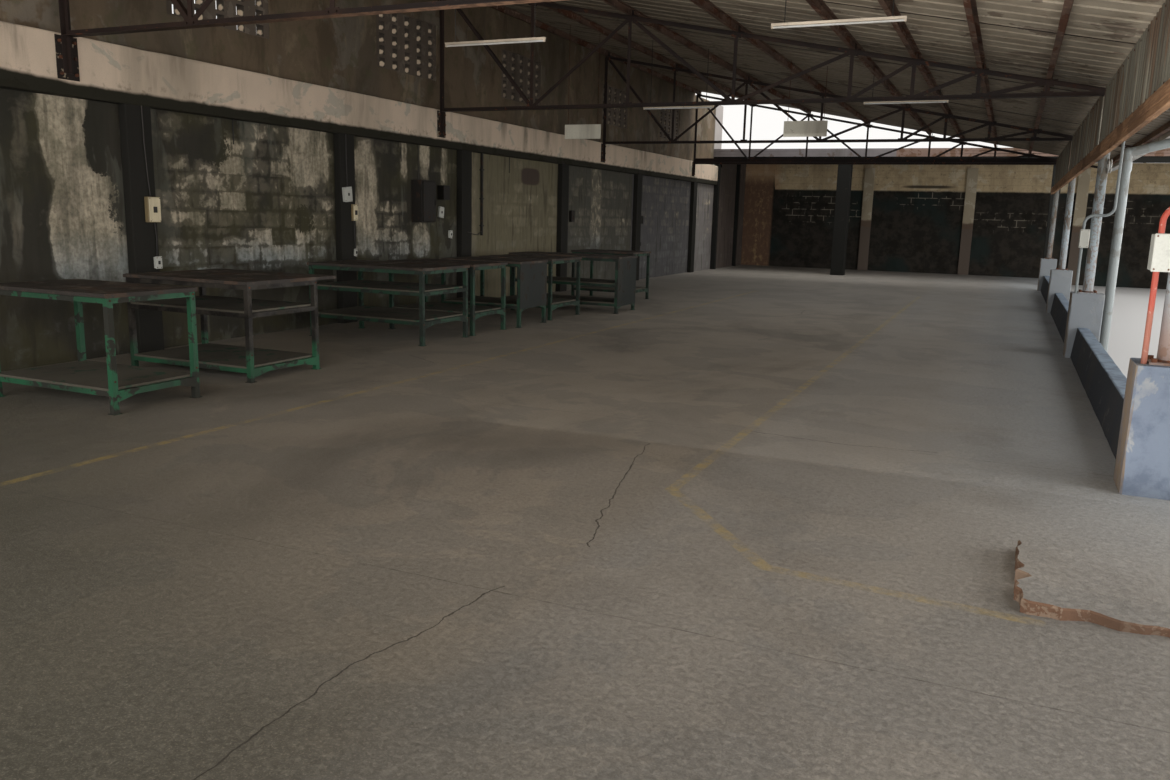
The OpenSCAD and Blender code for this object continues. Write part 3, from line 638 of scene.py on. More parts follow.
def post_look(w, place, look):
    """Rust at the foot and in spots, and dirt higher up on the far posts."""
    y = w.parts(place)[1]
    z = w.parts(shaken(w, place, 0.5, 2.5))[2]
    low = w.fall(z, 0.85, 1.25)
    top = w.step(z, 2.0, 2.5)
    spots = w.step(w.noise(place, 26.0, 5.0, 0.7), 0.50, 0.60)
    near = w.fall(y, 0.4, 1.0)
    foot = w.times(low, w.blend(near, 0.22, 0.8))
    rusty = w.most(foot, w.times(w.most(w.times(top, 0.5), spots), 0.6))
    dirty = w.times(w.step(z, 1.3, 2.3), w.step(y, 1.0, 5.0))
    look.mix(rusty, (0.21, 0.125, 0.090))
    look.tinge(dirty, 0.6, (0.105, 0.098, 0.074))
    look.rough = w.plus(look.rough, w.times(rusty, 0.15))


def pier_look(w, place, look):
    """Blue stains, paler far piers, and brown faces towards the hall."""
    blue = w.step(w.noise(place, 5.5, 5.0, 0.62), 0.48, 0.66)
    look.tinge(blue, 0.75, (0.066, 0.081, 0.110))
    far = w.step(w.parts(place)[1], 1.0, 8.0)
    look.tinge(far, 0.75, (0.27, 0.285, 0.29))
    hall_side = w.fall(w.facing(0), -0.9, -0.5)
    brown = w.step(w.noise(w.stretched(place, 1, 1, 0.4), 16.0, 5.0, 0.65), 0.40, 0.58)
    look.mix(w.times(hall_side, w.blend(brown, 0.45, 0.9)), (0.190, 0.135, 0.085))


def steel_look(w, place, look):
    """Painted light from the floor: pale, mottled undersides of the near trusses."""
    x, y, _ = w.parts(place)
    # Painted light: the downward faces of the near trusses are paled as lit from the floor
    under = w.fall(w.facing(2), -0.95, -0.7)
    near = w.fall(y, 0.5, 3.0)
    mottle = w.blend(w.step(w.noise(place, 14.0, 5.0), 0.4, 0.6), 0.4, 0.9)
    pale = w.times(w.times(under, near), mottle)
    look.mix(w.times(pale, w.step(x, 1.0, 4.0)), (0.30, 0.17, 0.105))


def purlin_look(w, place, look):
    """Pale spots and dark runs."""
    spots = w.step(w.noise(place, 9.0, 6.0, 0.68), 0.54, 0.66)
    look.tinge(spots, 0.7, (0.36, 0.25, 0.18))
    dark = w.step(w.noise(w.stretched(place, 1, 0.5, 1), 3.5, 5.0, 0.6), 0.50, 0.64)
    look.tinge(dark, 0.6, (0.045, 0.030, 0.022))


def kerb_look(w, place, look):
    """A paler, bluish top: wear and painted sky light."""
    z = w.parts(place)[2]
    # The top face is painted pale and bluish: wear and painted sky light
    top = w.step(z, 0.350, 0.356)
    look.mix(top, w.mix(w.step(w.noise(place, 7.0), 0.4, 0.6), (0.20, 0.255, 0.315), (0.14, 0.175, 0.225)))


def timber_look(w, place, look):
    """Grain along the rail."""
    grain = w.noise(w.stretched(place, 1.0, 0.035, 1.0), 60.0, 5.0, 0.6, 0.6)
    rings = w.step(grain, 0.42, 0.60)
    look.tinge(rings, 0.5, (0.17, 0.088, 0.048))
    look.height = w.plus(look.height, rings)


def valance_look(w, place, look):
    """Pale and brown runs down the sheets."""
    run = w.noise(w.stretched(place, 1, 1, 0.07), 7.0, 5.0)
    look.tinge(w.step(run, 0.55, 0.68), 0.7, (0.42, 0.38, 0.29))
    look.tinge(w.step(run, 0.46, 0.36), 0.6, (0.10, 0.060, 0.038))


def sheet_look(w, place, look):
    """Mottled sheets with rust spots, and painted shade towards the block wall and the far end."""
    x, y, _ = w.parts(place)
    mottle = w.step(w.noise(place, 2.2, 7.0, 0.66, 0.4), 0.42, 0.64)
    look.tinge(mottle, 0.4, (0.30, 0.225, 0.150))
    run = w.noise(w.stretched(place, 0.22, 1, 1), 2.6, 5.0, 0.55)
    look.tinge(w.step(run, 0.50, 0.72), 0.4, (0.21, 0.16, 0.11))
    # Painted shade: darker towards the block wall and the far end
    painted_shade_inward = w.most(w.fall(x, 3.0, 7.0), w.step(y, 1.5, 7.5))
    look.tinge(painted_shade_inward, 0.72, (0.105, 0.085, 0.062))
    spots = w.step(w.noise(place, 9.0, 6.0, 0.65), 0.60, 0.72)
    look.tinge(spots, 0.35, (0.18, 0.095, 0.055))


def upper_look(w, place, look):
    """Dark and pale runs, mould, and a pale end beyond the roof, painted sky light."""
    y = w.parts(place)[1]
    run = w.noise(w.stretched(place, 1, 1, 0.5), 1.7, 7.0, 0.66, 0.4)
    spots = w.noise(place, 4.0, 7.0, 0.65)
    look.tinge(w.step(run, 0.50, 0.64), 0.6, (0.060, 0.044, 0.026))
    look.tinge(w.step(run, 0.46, 0.34), 0.45, (0.27, 0.205, 0.130))
    look.tinge(w.step(spots, 0.52, 0.64), 0.5, (0.085, 0.080, 0.040))
    # Painted light: the wall beyond the roof's end is painted pale as lit by the open sky
    end = w.step(y, 20.9, 21.0)
    look.tinge(end, 0.7, (0.50, 0.47, 0.46))


def vent_look(w, place, look):
    """Painted shade inside the holes, and a painted highlight on the side that is turned to the light."""
    low, high = (corner - ORIGIN for corner in span("vent_blocks"))
    x, y, z = w.parts(place)
    normal = w.parts(w.add("ShaderNodeNewGeometry").outputs["Normal"])
    # Painted shade on the inner faces of the holes
    painted_hole_shade = w.fall(w.math("ABSOLUTE", normal[0]), 0.3, 0.6)
    look.tinge(painted_hole_shade, 0.8, (0.030, 0.022, 0.015))
    # Painted highlight: a pale spot on each hole's side turned to the light, fading on the farther vents
    cell = (high.z - low.z) / 5
    up = w.less(w.math("FRACT", w.over(w.less(z, low.z), cell)), 0.5)
    across = w.times(w.less(x, (low.x + high.x) / 2), 0.8)
    reach = w.vector("LENGTH", w.joined(across, w.plus(w.times(up, cell), 0.014)))
    reach = w.plus(reach, w.times(w.noise(place, 11.0, 5.0, 0.65), 0.075))
    spot = w.fall(reach, 0.058, 0.076)
    side = w.fall(normal[1], -0.6, -0.3)
    fade = w.rest(w.ease(y, 4.5, 8.0, 0.75))
    look.mix(w.times(w.times(spot, side), fade), (0.68, 0.53, 0.37))


def conduit_look(w, place, look):
    """Faded red, rusty low down, and grey on the farther post."""
    _, y, z = w.parts(place)
    low = w.fall(z, 1.0, 1.1)
    look.tinge(low, 0.7, (0.22, 0.11, 0.075))
    look.mix(w.step(y, 2.9, 3.1), (0.20, 0.22, 0.22))


def bench_look(w, place, look):
    """Green frames: the second one bare above its foot, the farther ones darker."""
    _, y, z = w.parts(place)
    second = band(w, y, -0.3, 1.3, 0.1)
    wood = w.mix(w.step(w.noise(place, 6.0, 5.0), 0.42, 0.60), (0.036, 0.031, 0.025), (0.015, 0.013, 0.011))
    wood = w.mix(w.step(z, 0.20, 0.30), look.colour, wood)
    look.mix(second, wood)
    look.tinge(w.step(y, 1.6, 2.0), 0.62, (0.018, 0.026, 0.021))
    edge = w.step(w.noise(place, 30.0, 5.0, 0.7), 0.60, 0.70)
    look.tinge(edge, 0.4, (0.095, 0.075, 0.055))


def top_look(w, place, look):
    """Worn places that shine a little."""
    worn = w.step(w.noise(place, 3.5, 6.0, 0.65), 0.50, 0.64)
    look.tinge(worn, 0.6, (0.085, 0.062, 0.045))
    look.rough = w.less(look.rough, w.times(worn, 0.2))


def make_materials():
    """All finishes: name, paint, what is under it, stain, peel level and scale, roughness, bump."""
    c = colours()
    patches_group()
    blocks_group()
    weathered_group()
    dull = (0.75, 0.9)
    steel = {"grain": 160.0, "stain_level": 0.60}
    finish("floor_concrete", c.floor, (0.270, 0.240, 0.200), (0.12, 0.104, 0.085), 0.52, 0.9,
           (0.72, 0.85), 0.003, stain_stretch=(1, 0.6, 1), stain_level=0.60, stain_scale=0.6, grain=70,
           extra=floor_look)
    finish("painted_block", c.dark, (0.075, 0.074, 0.058), (0.055, 0.047, 0.036), 0.56, 1.6, dull, 0.003,
           stretch=(1, 1, 0.3), grain=85, extra=wall_look)
    finish("pilaster_paint", (0.013, 0.012, 0.009), (0.07, 0.062, 0.048), (0.018, 0.016, 0.013), 0.70,
           4.0, dull, 0.002, stretch=(1, 1, 0.3))
    finish("ring_plaster", c.ring, (0.50, 0.44, 0.35), (0.33, 0.27, 0.20), 0.58, 1.8, dull, 0.003,
           stretch=(1, 1, 1.5), extra=ring_look)
    finish("upper_plaster", c.plaster, (0.20, 0.165, 0.125), (0.085, 0.070, 0.050), 0.57, 1.1, dull,
           0.003, extra=upper_look)
    finish("vent_concrete", (0.135, 0.105, 0.080), (0.19, 0.155, 0.12), (0.06, 0.048, 0.036), 0.58, 6.0,
           dull, 0.002, extra=vent_look)
    finish("rear_block", c.ochre, (0.62, 0.53, 0.37), (0.24, 0.18, 0.11), 0.56, 2.2, dull, 0.003,
           extra=rear_look)
    finish("rear_pilaster", (0.40, 0.34, 0.24), (0.50, 0.44, 0.33), (0.16, 0.125, 0.085), 0.56, 3.0, dull,
           0.002, extra=pilaster_look)
    finish("column_paint", (0.012, 0.012, 0.010), (0.040, 0.036, 0.028), (0.012, 0.011, 0.009), 0.66, 4.0,
           dull, 0.0015)
    finish("rusty_steel", c.steel, c.rust, (0.045, 0.024, 0.016), 0.64, 9.0, (0.55, 0.88), 0.0008,
           extra=steel_look, **steel)
    finish("rusty_plate", (0.055, 0.028, 0.019), c.rust, (0.045, 0.022, 0.014), 0.47, 14.0, (0.8, 0.95),
           0.0008, **steel)
    finish("shoe_paint", (0.020, 0.014, 0.011), (0.30, 0.24, 0.17), (0.012, 0.009, 0.007), 0.60, 16.0,
           (0.7, 0.9), 0.0008, **steel)
    finish("purlin_steel", c.purlin, c.rust, (0.050, 0.030, 0.022), 0.55, 5.0, (0.6, 0.88), 0.0008,
           stretch=(1, 0.35, 1), stain_stretch=(1, 0.5, 1), extra=purlin_look, **steel)
    finish("roof_sheet", c.sheet, (0.30, 0.24, 0.185), (0.19, 0.15, 0.11), 0.60, 2.0, (0.5, 0.85), 0.001,
           stain_stretch=(0.3, 1, 1), stain_level=0.56, extra=sheet_look)
    # A near-black strip at each lap of the roof sheets, painted shade
    finish("lap_shade_strip", (0.022, 0.016, 0.012), (0.060, 0.042, 0.030), (0.02, 0.015, 0.011), 0.60, 3.0,
           (0.7, 0.9), 0.0005)
    finish("fascia_sheet", (0.235, 0.215, 0.215), (0.17, 0.135, 0.12), (0.10, 0.082, 0.070), 0.60, 3.0,
           (0.5, 0.85), 0.001)
    finish("fascia_brown", (0.26, 0.175, 0.140), (0.18, 0.105, 0.070), (0.09, 0.058, 0.040), 0.55, 3.0,
           (0.6, 0.85), 0.001)
    finish("pier_concrete", c.pier, (0.21, 0.21, 0.20), (0.100, 0.117, 0.150), 0.57, 3.0, dull, 0.003,
           stain_level=0.55, stain_scale=3.2, stain_stretch=(1, 1, 0.7), extra=pier_look)
    finish("post_paint", c.post, (0.155, 0.145, 0.13), (0.12, 0.09, 0.06), 0.555, 13.0, (0.5, 0.85),
           0.001, stretch=(1, 1, 0.35), extra=post_look)
    finish("kerb_paint", (0.026, 0.030, 0.038), (0.11, 0.11, 0.105), (0.05, 0.046, 0.04), 0.64, 5.0, dull,
           0.002, extra=kerb_look)
    finish("rail_timber", c.timber, (0.27, 0.15, 0.08), (0.10, 0.055, 0.03), 0.55, 1.6, (0.75, 0.85),
           0.002, stain_stretch=(1, 0.2, 1), stretch=(1, 0.2, 1), extra=timber_look)
    finish("valance_sheet", (0.21, 0.195, 0.150), (0.20, 0.135, 0.090), (0.075, 0.064, 0.048), 0.57, 3.0,
           (0.6, 0.85), 0.001, stretch=(1, 1, 0.12), extra=valance_look)
    finish("gutter_plastic", (0.52, 0.52, 0.50), (0.42, 0.41, 0.38), (0.23, 0.21, 0.17), 0.60, 3.0,
           (0.4, 0.6), 0.0004, gloss=0.45)
    finish("pipe_plastic", (0.25, 0.28, 0.28), (0.21, 0.22, 0.21), (0.15, 0.135, 0.11), 0.60, 4.0,
           (0.38, 0.6), 0.0004, gloss=0.45)
    finish("batten_white", (0.92, 0.78, 0.60), (0.46, 0.40, 0.32), (0.28, 0.22, 0.16), 0.68, 8.0,
           (0.35, 0.7), 0.0003, gloss=0.45)
    finish("lamp_tube", (0.80, 0.80, 0.76), (0.74, 0.73, 0.68), (0.45, 0.40, 0.33), 0.66, 8.0,
           (0.12, 0.3), 0.0001, gloss=0.45)
    finish("sign_board", (0.80, 0.76, 0.63), (0.60, 0.55, 0.45), (0.24, 0.20, 0.15), 0.66, 9.0,
           (0.4, 0.7), 0.0003)
    finish("box_plastic", (0.66, 0.56, 0.36), (0.42, 0.37, 0.27), (0.20, 0.16, 0.10), 0.66, 12.0,
           (0.4, 0.6), 0.0003, gloss=0.45)
    finish("box_ochre", (0.26, 0.185, 0.080), (0.20, 0.15, 0.08), (0.10, 0.08, 0.05), 0.62, 12.0,
           (0.4, 0.6), 0.0003, gloss=0.45)
    finish("broken_edge", (0.17, 0.095, 0.060), (0.27, 0.19, 0.135), (0.09, 0.058, 0.040), 0.52, 14.0,
           (0.85, 0.95), 0.003)
    finish("box_pale", (0.46, 0.46, 0.41), (0.42, 0.42, 0.38), (0.20, 0.18, 0.14), 0.64, 12.0, (0.4, 0.6),
           0.0003, gloss=0.45)
    finish("switch_paint", (0.013, 0.011, 0.009), (0.045, 0.028, 0.020), (0.022, 0.018, 0.014), 0.60, 8.0,
           (0.5, 0.8), 0.0005)
    finish("cable_black", (0.018, 0.017, 0.016), (0.045, 0.04, 0.036), (0.06, 0.052, 0.042), 0.64, 14.0,
           (0.5, 0.7), 0.0002)
    finish("conduit_red", (0.33, 0.055, 0.035), (0.44, 0.24, 0.20), (0.22, 0.12, 0.09), 0.60, 12.0,
           (0.4, 0.6), 0.0003, extra=conduit_look)
    finish("bench_paint", c.green, (0.030, 0.028, 0.022), (0.024, 0.028, 0.022), 0.53, 5.0, (0.45, 0.8),
           0.0006, stain_level=0.53, stain_scale=2.2, grain=120, extra=bench_look)
    finish("bench_panel", (0.012, 0.015, 0.013), (0.035, 0.026, 0.019), (0.030, 0.028, 0.022), 0.60, 5.0,
           (0.5, 0.8), 0.0005)
    finish("bench_top", (0.040, 0.034, 0.029), (0.075, 0.050, 0.036), (0.028, 0.022, 0.018), 0.56, 4.0,
           (0.6, 0.8), 0.001, extra=top_look)
    finish("bench_shelf", (0.095, 0.085, 0.065), (0.035, 0.080, 0.050), (0.05, 0.043, 0.032), 0.60, 5.0,
           (0.7, 0.8), 0.001)


# Mesh building

class Shape:
    """Vertices and faces of one piece; each face keeps the number of its material."""

    def __init__(self):
        self.points, self.faces, self.kinds, self.kind = [], [], [], 0

    def add(self, points, faces):
        start = len(self.points)
        self.points.extend(tuple(p) for p in points)
        self.faces.extend([tuple(start + i for i in face) for face in faces])
        self.kinds.extend([self.kind] * len(faces))

    def box(self, low, high, round_off=0.0):
        """A box, with its edges cut by round_off."""
        low, high = Vector(low), Vector(high)
        if round_off <= 0:
            corners = [(x, y, z) for z in (low.z, high.z) for y in (low.y, high.y) for x in (low.x, high.x)]
            self.add(corners, [(0, 2, 3, 1), (4, 5, 7, 6), (0, 1, 5, 4), (2, 6, 7, 3), (0, 4, 6, 2),
                               (1, 3, 7, 5)])
            return
        corners = list(itertools.product((0, 1), repeat=3))
        points, index = [], {}
        for bits in corners:
            for face in range(3):
                p = [high[k] if bit else low[k] for k, bit in enumerate(bits)]
                for k, bit in enumerate(bits):
                    if k != face:
                        p[k] += -round_off if bit else round_off
                index[bits, face] = len(points)
                points.append(p)
        faces = []
        for axis in range(3):
            a, b = (axis + 1) % 3, (axis + 2) % 3

            def key(s, sa, sb, face):
                bits = {axis: s, a: sa, b: sb}
                return index[(bits[0], bits[1], bits[2]), face]

            for s in (0, 1):
                ring = [key(s, 0, 0, axis), key(s, 1, 0, axis), key(s, 1, 1, axis), key(s, 0, 1, axis)]
                faces.append(ring if s else ring[::-1])
            for sa, sb in itertools.product((0, 1), repeat=2):
                ring = [key(0, sa, sb, a), key(1, sa, sb, a), key(1, sa, sb, b), key(0, sa, sb, b)]
                faces.append(ring if sa == sb else ring[::-1])
        for bits in corners:
            ring = [index[bits, face] for face in range(3)]
            faces.append(ring if sum(bits) % 2 else ring[::-1])
        self.add(points, faces)

    def prism(self, outline, axis, start, end):
        """An outline of the other two axes, counter-clockwise from the end, drawn out along an axis."""
        self.rings([[place(axis, t, u, v) for u, v in outline] for t in (start, end)])

    def rings(self, rings):
        """A closed skin over rings with the same number of points."""
        n = len(rings[0])
        faces = [(k * n + i, k * n + (i + 1) % n, (k + 1) * n + (i + 1) % n, (k + 1) * n + i)
                 for k in range(len(rings) - 1) for i in range(n)]
        last = (len(rings) - 1) * n
        faces.append(tuple(range(n))[::-1])
        faces.append(tuple(last + i for i in range(n)))
        self.add([p for ring in rings for p in ring], faces)

    def tube(self, path, radius, sides=10):
        """A round bar along a path."""
        path = [Vector(p) for p in path]
        side = None
        rings = []
        for i, point in enumerate(path):
            ahead = (path[min(i + 1, len(path) - 1)] - path[max(i - 1, 0)]).normalized()
            if side is None:
                side = ahead.orthogonal().normalized()
            side = (side - ahead * side.dot(ahead)).normalized()
            other = ahead.cross(side)
            rings.append([point + (side * math.cos(t) + other * math.sin(t)) * radius
                          for t in turns(sides)])
        self.rings(rings)

    def rough(self, outline, axis, start, end, chip, step=0.12, seed=0.0):
        """A prism of concrete or timber whose long edges are worn and chipped."""
        count = max(2, round((end - start) / step) + 1)
        rings = []
        n = len(outline)
        for k in range(count):
            t = start + (end - start) * k / (count - 1)
            ring = []
            for i in range(n):
                corner = Vector((*outline[i], 0))
                for j, other in enumerate((outline[i - 1], outline[(i + 1) % n])):
                    way = Vector((*other, 0)) - corner
                    wild = noise.noise(Vector((t * 3.1, i * 7.7 + j * 3.3, seed)))
                    wild += 0.6 * noise.noise(Vector((t * 11.0, i * 5.1 + j * 2.2, seed + 9.0)))
                    depth = chip * (0.7 + 0.5 * wild + 5.0 * max(0.0, wild - 0.42))
                    p = corner + way.normalized() * min(max(depth, chip * 0.2), way.length * 0.3)
                    ring.append(place(axis, t, p.x, p.y))
            rings.append(ring)
        self.rings(rings)

    def mesh(self, name):
        mesh = bpy.data.meshes.new(name)
        mesh.from_pydata(self.points, [], self.faces)
        mesh.polygons.foreach_set("material_index", self.kinds)
        mesh.validate()
        mesh.update()
        return mesh


def place(axis, t, u, v):
    """A point from its place along an axis and its two other coordinates, which keep their turn."""
    return {"x": (t, u, v), "y": (v, t, u), "z": (u, v, t)}[axis]


def rect(u0, u1, v0, v1):
    return [(u0, v0), (u1, v0), (u1, v1), (u0, v1)]


def settle(name, source, materials, replaces=(), smooth=False):
    """Makes a piece of a shape or mesh: its materials, its body and the node that it stands for."""
    mesh = source.mesh(name) if isinstance(source, Shape) else source
    obj = bpy.data.objects.new(name, mesh)
    bpy.context.scene.collection.objects.link(obj)
    kinds = [polygon.material_index for polygon in mesh.polygons]
    mesh.materials.clear()
    for key in materials:
        mesh.materials.append(MATERIALS[key])
    mesh.polygons.foreach_set("material_index", kinds)
    if smooth:
        for polygon in mesh.polygons:
            polygon.use_smooth = True
    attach(obj, "root")
    if replaces:
        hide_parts(*replaces)
    return obj


def grown(name, source, tree, values, material):
    """Runs a node tree on a source mesh and keeps the result as a plain mesh."""
    holder = bpy.data.objects.new(name + "_source", source)
    bpy.context.scene.collection.objects.link(holder)
    modifier = holder.modifiers.new("Nodes", "NODES")
    modifier.node_group = bpy.data.node_groups[tree]
    values = dict(values, Material=MATERIALS[material])
    for item in modifier.node_group.interface.items_tree:
        if item.in_out == "INPUT" and item.name in values:
            modifier[item.identifier] = values[item.name]
    graph = bpy.context.evaluated_depsgraph_get()
    mesh = bpy.data.meshes.new_from_object(holder.evaluated_get(graph), depsgraph=graph)
    holder.modifiers.remove(modifier)
    bpy.data.objects.remove(holder)
    if not mesh.polygons:
        raise RuntimeError(name + " came out empty")
    return mesh


def courses_tree():
    """Rows of whole and half blocks that fill a wall, each a hair in or out."""
    w, take, give = new_group("Courses", {
        "Length": "f", "Height": "f", "Thickness": "f", "Block Length": "f", "Block Height": "f",
        "Joint": "f", "Seed": "i", "Corner": "v", "Turn": "v", "Material": "m"}, {"Geometry": "g"},
        "GeometryNodeTree")
    sway, slack, smallest = 0.0015, 0.003, 0.02
    columns = w.plus(w.math("CEIL", w.over(take["Length"], take["Block Length"])), 1.0)
    rows = w.math("CEIL", w.less(w.over(take["Height"], take["Block Height"]), 0.01))
    index = w.add("GeometryNodeInputIndex").outputs[0]
    row = w.math("FLOOR", w.over(w.plus(index, 0.5), columns))
    column = w.less(index, w.times(row, columns))
    start = w.less(column, w.times(w.math("FLOORED_MODULO", row, 2.0), 0.5))
    start = w.times(start, take["Block Length"])
    left = w.most(start, 0.0)
    right = w.least(w.plus(start, take["Block Length"]), take["Length"])
    foot = w.times(row, take["Block Height"])
    top = w.least(w.plus(foot, take["Block Height"]), take["Height"])
    wide = w.less(w.less(right, left), take["Joint"])
    high = w.less(w.less(top, foot), take["Joint"])
    cloud = w.add("GeometryNodePoints", w.times(columns, rows)).outputs[0]
    out = w.add("FunctionNodeRandomValue", data_type="FLOAT")
    w.put(out.inputs[2], -sway)
    w.put(out.inputs[3], sway)
    w.put(out.inputs["Seed"], take["Seed"])
    middle = w.joined(w.times(w.plus(left, right), 0.5),
                      w.plus(w.times(take["Thickness"], 0.5), out.outputs[1]),
                      w.times(w.plus(foot, top), 0.5))
    cloud = w.named("GeometryNodeSetPosition", {"Geometry": cloud, "Position": middle}).outputs[0]
    keep = w.math("GREATER_THAN", w.least(wide, high), smallest)
    cube = w.add("GeometryNodeMeshCube", (1.0, 1.0, 1.0)).outputs[0]
    scale = w.joined(wide, w.less(take["Thickness"], slack), high)
    laid = w.named("GeometryNodeInstanceOnPoints", {"Points": cloud, "Selection": keep, "Instance": cube,
                                                    "Scale": scale}).outputs[0]
    solid = w.add("GeometryNodeRealizeInstances", laid).outputs[0]
    turned = w.named("GeometryNodeTransform", {"Geometry": solid, "Translation": take["Corner"],
                                               "Rotation": take["Turn"]}).outputs[0]
    w.put(give[0], w.dressed(turned, take["Material"]))


def fixings_tree():
    """A bolt or screw head on each point, turned to the point's own facing."""
    w, take, give = new_group("Fixings", {"Geometry": "g", "Radius": "f", "Depth": "f", "Sides": "i",
                                          "Material": "m"}, {"Geometry": "g"}, "GeometryNodeTree")
    head = w.named("GeometryNodeMeshCylinder", {"Vertices": take["Sides"], "Radius": take["Radius"],
                                                "Depth": take["Depth"]}).outputs[0]
    lift = w.joined(0.0, 0.0, w.times(take["Depth"], 0.5))
    head = w.named("GeometryNodeTransform", {"Geometry": head, "Translation": lift}).outputs[0]
    facing = w.add("GeometryNodeInputNamedAttribute", "facing", data_type="FLOAT_VECTOR").outputs[0]
    turn = w.named("FunctionNodeAlignRotationToVector", {"Vector": facing}, axis="Z").outputs[0]
    heads = w.named("GeometryNodeInstanceOnPoints", {"Points": take["Geometry"], "Instance": head,
                                                     "Rotation": turn}).outputs[0]
    solid = w.add("GeometryNodeRealizeInstances", heads).outputs[0]
    w.put(give[0], w.dressed(solid, take["Material"]))


def row_tree():
    """Copies of the source mesh in a straight row."""
    w, take, give = new_group("Row", {"Geometry": "g", "Count": "i", "Step": "v", "Material": "m"},
                              {"Geometry": "g"}, "GeometryNodeTree")
    line = w.named("GeometryNodeMeshLine", {"Count": take["Count"], "Offset": take["Step"]},
                   mode="OFFSET").outputs[0]
    row = w.named("GeometryNodeInstanceOnPoints", {"Points": line, "Instance": take["Geometry"]}).outputs[0]
    solid = w.add("GeometryNodeRealizeInstances", row).outputs[0]
    w.put(give[0], w.dressed(solid, take["Material"]))


def heads(name, spots, radius, depth, material, sides=6):
    """A piece of bolt or screw heads, each given as a pair of place and facing."""
    mesh = bpy.data.meshes.new(name)
    mesh.from_pydata([tuple(p) for p, _ in spots], [], [])
    facing = mesh.attributes.new("facing", "FLOAT_VECTOR", "POINT")
    facing.data.foreach_set("vector", [v for _, f in spots for v in f])
    mesh = grown(name, mesh, "Fixings", {"Radius": radius, "Depth": depth, "Sides": sides}, material)
    settle(name, mesh, [material])


def repeated(name, source, count, step, material):
    """Copies of a shape in a straight row along y."""
    mesh = grown(name, source.mesh(name), "Row", {"Count": count, "Step": (0.0, step, 0.0)}, material)
    settle(name, mesh, [material])


def coursed(name, boxes, node, material, along):
    """Walls of blocks along an axis over mortar cores, in place of a CAD node."""
    s = sizes()
    recess, inset = 0.0025, 0.002
    turned = along == "y"
    core, blocks = Shape(), []
    across = Vector((recess, inset, inset)) if turned else Vector((inset, recess, inset))
    for seed, (low, high) in enumerate(boxes):
        wide, deep, tall = high - low
        values = {"Length": deep if turned else wide, "Height": tall, "Thickness": wide if turned else deep,
                  "Block Length": s.block_length, "Block Height": s.block_height, "Joint": s.joint,
                  "Seed": seed + 1, "Corner": (high.x, low.y, low.z) if turned else tuple(low),
                  "Turn": (0.0, 0.0, math.pi / 2 if turned else 0.0)}
        blocks.append(grown(name, bpy.data.meshes.new(name), "Courses", values, material))
        core.box(low + across, high - across)
    for mesh in blocks:
        core.add([v.co for v in mesh.vertices], [tuple(p.vertices) for p in mesh.polygons])
    settle(name, core, [material], replaces=[node])


# Operators

def lay_ground():
    """A wide pale floor just below the hall's own."""
    reach, z = 90.0, -0.002
    mesh = bpy.data.meshes.new("ground")
    mesh.from_pydata([(-reach, -reach, z), (reach, -reach, z), (reach, reach, z), (-reach, reach, z)], [],
                     [(0, 1, 2, 3)])
    ground = bpy.data.objects.new("ground", mesh)
    bpy.context.scene.collection.objects.link(ground)
    material = bpy.data.materials.new("ground_pale")
    material.use_nodes = True
    shader = material.node_tree.nodes["Principled BSDF"]
    shader.inputs["Base Color"].default_value = (0.52, 0.515, 0.505, 1)
    shader.inputs["Roughness"].default_value = 0.9
    mesh.materials.append(material)


def light_world():
    """A pale world that lights a little less than it shows."""
    world = bpy.data.worlds.new("studio")
    bpy.context.scene.world = world
    world.use_nodes = True
    w = Wires(world.node_tree)
    back = world.node_tree.nodes["Background"]
    rays = w.add("ShaderNodeLightPath").outputs
    seen = w.most(rays["Is Camera Ray"], w.most(rays["Is Glossy Ray"], rays["Is Transmission Ray"]))
    back.inputs["Color"].default_value = (1.0, 0.985, 0.96, 1)
    w.put(back.inputs["Strength"], w.blend(seen, 0.80, 1.0))


def area(name, where, aim, wide, tall, power):
    """A soft lamp that the camera doesn't see."""
    lamp = bpy.data.lights.new(name, "AREA")
    lamp.shape = "RECTANGLE"
    lamp.size, lamp.size_y, lamp.energy = wide, tall, power
    obj = bpy.data.objects.new(name, lamp)
    obj.location = where
    obj.rotation_euler = (aim - where).to_track_quat("-Z", "Y").to_euler()
    bpy.context.scene.collection.objects.link(obj)
    obj.visible_camera = False


def hang_lamps():
    """Light through the openings, two lamps inside, at the roof and the aisle, and one from outside."""
    area("near_light", hall(4.0, -10.5, 3.0), hall(3.0, 4.0, 1.3), 8.0, 4.5, 620.0)
    area("side_light", hall(15.0, 5.0, 1.9), hall(0.0, 5.0, 1.6), 26.0, 2.6, 920.0)
    area("gap_light", hall(4.0, 19.9, 7.0), hall(3.0, 18.5, 0.0), 7.0, 2.2, 260.0)
    area("roof_light", hall(7.0, -1.0, 0.25), hall(7.0, 0.5, 4.0), 4.5, 7.0, 290.0)
    area("aisle_light", hall(5.0, 11.5, 2.85), hall(5.0, 11.5, 0.0), 5.0, 11.0, 50.0)
    area("vent_light", hall(-7.0, 5.0, 3.5), hall(0.0, 5.0, 3.9), 30.0, 4.0, 420.0)
    centre = (Vector(CAD_BOUNDS[0]) + Vector(CAD_BOUNDS[1])) / 2
    area("key_light", centre + Vector((14.0, -12.0, 16.0)), centre, 14.0, 14.0, 1800.0)


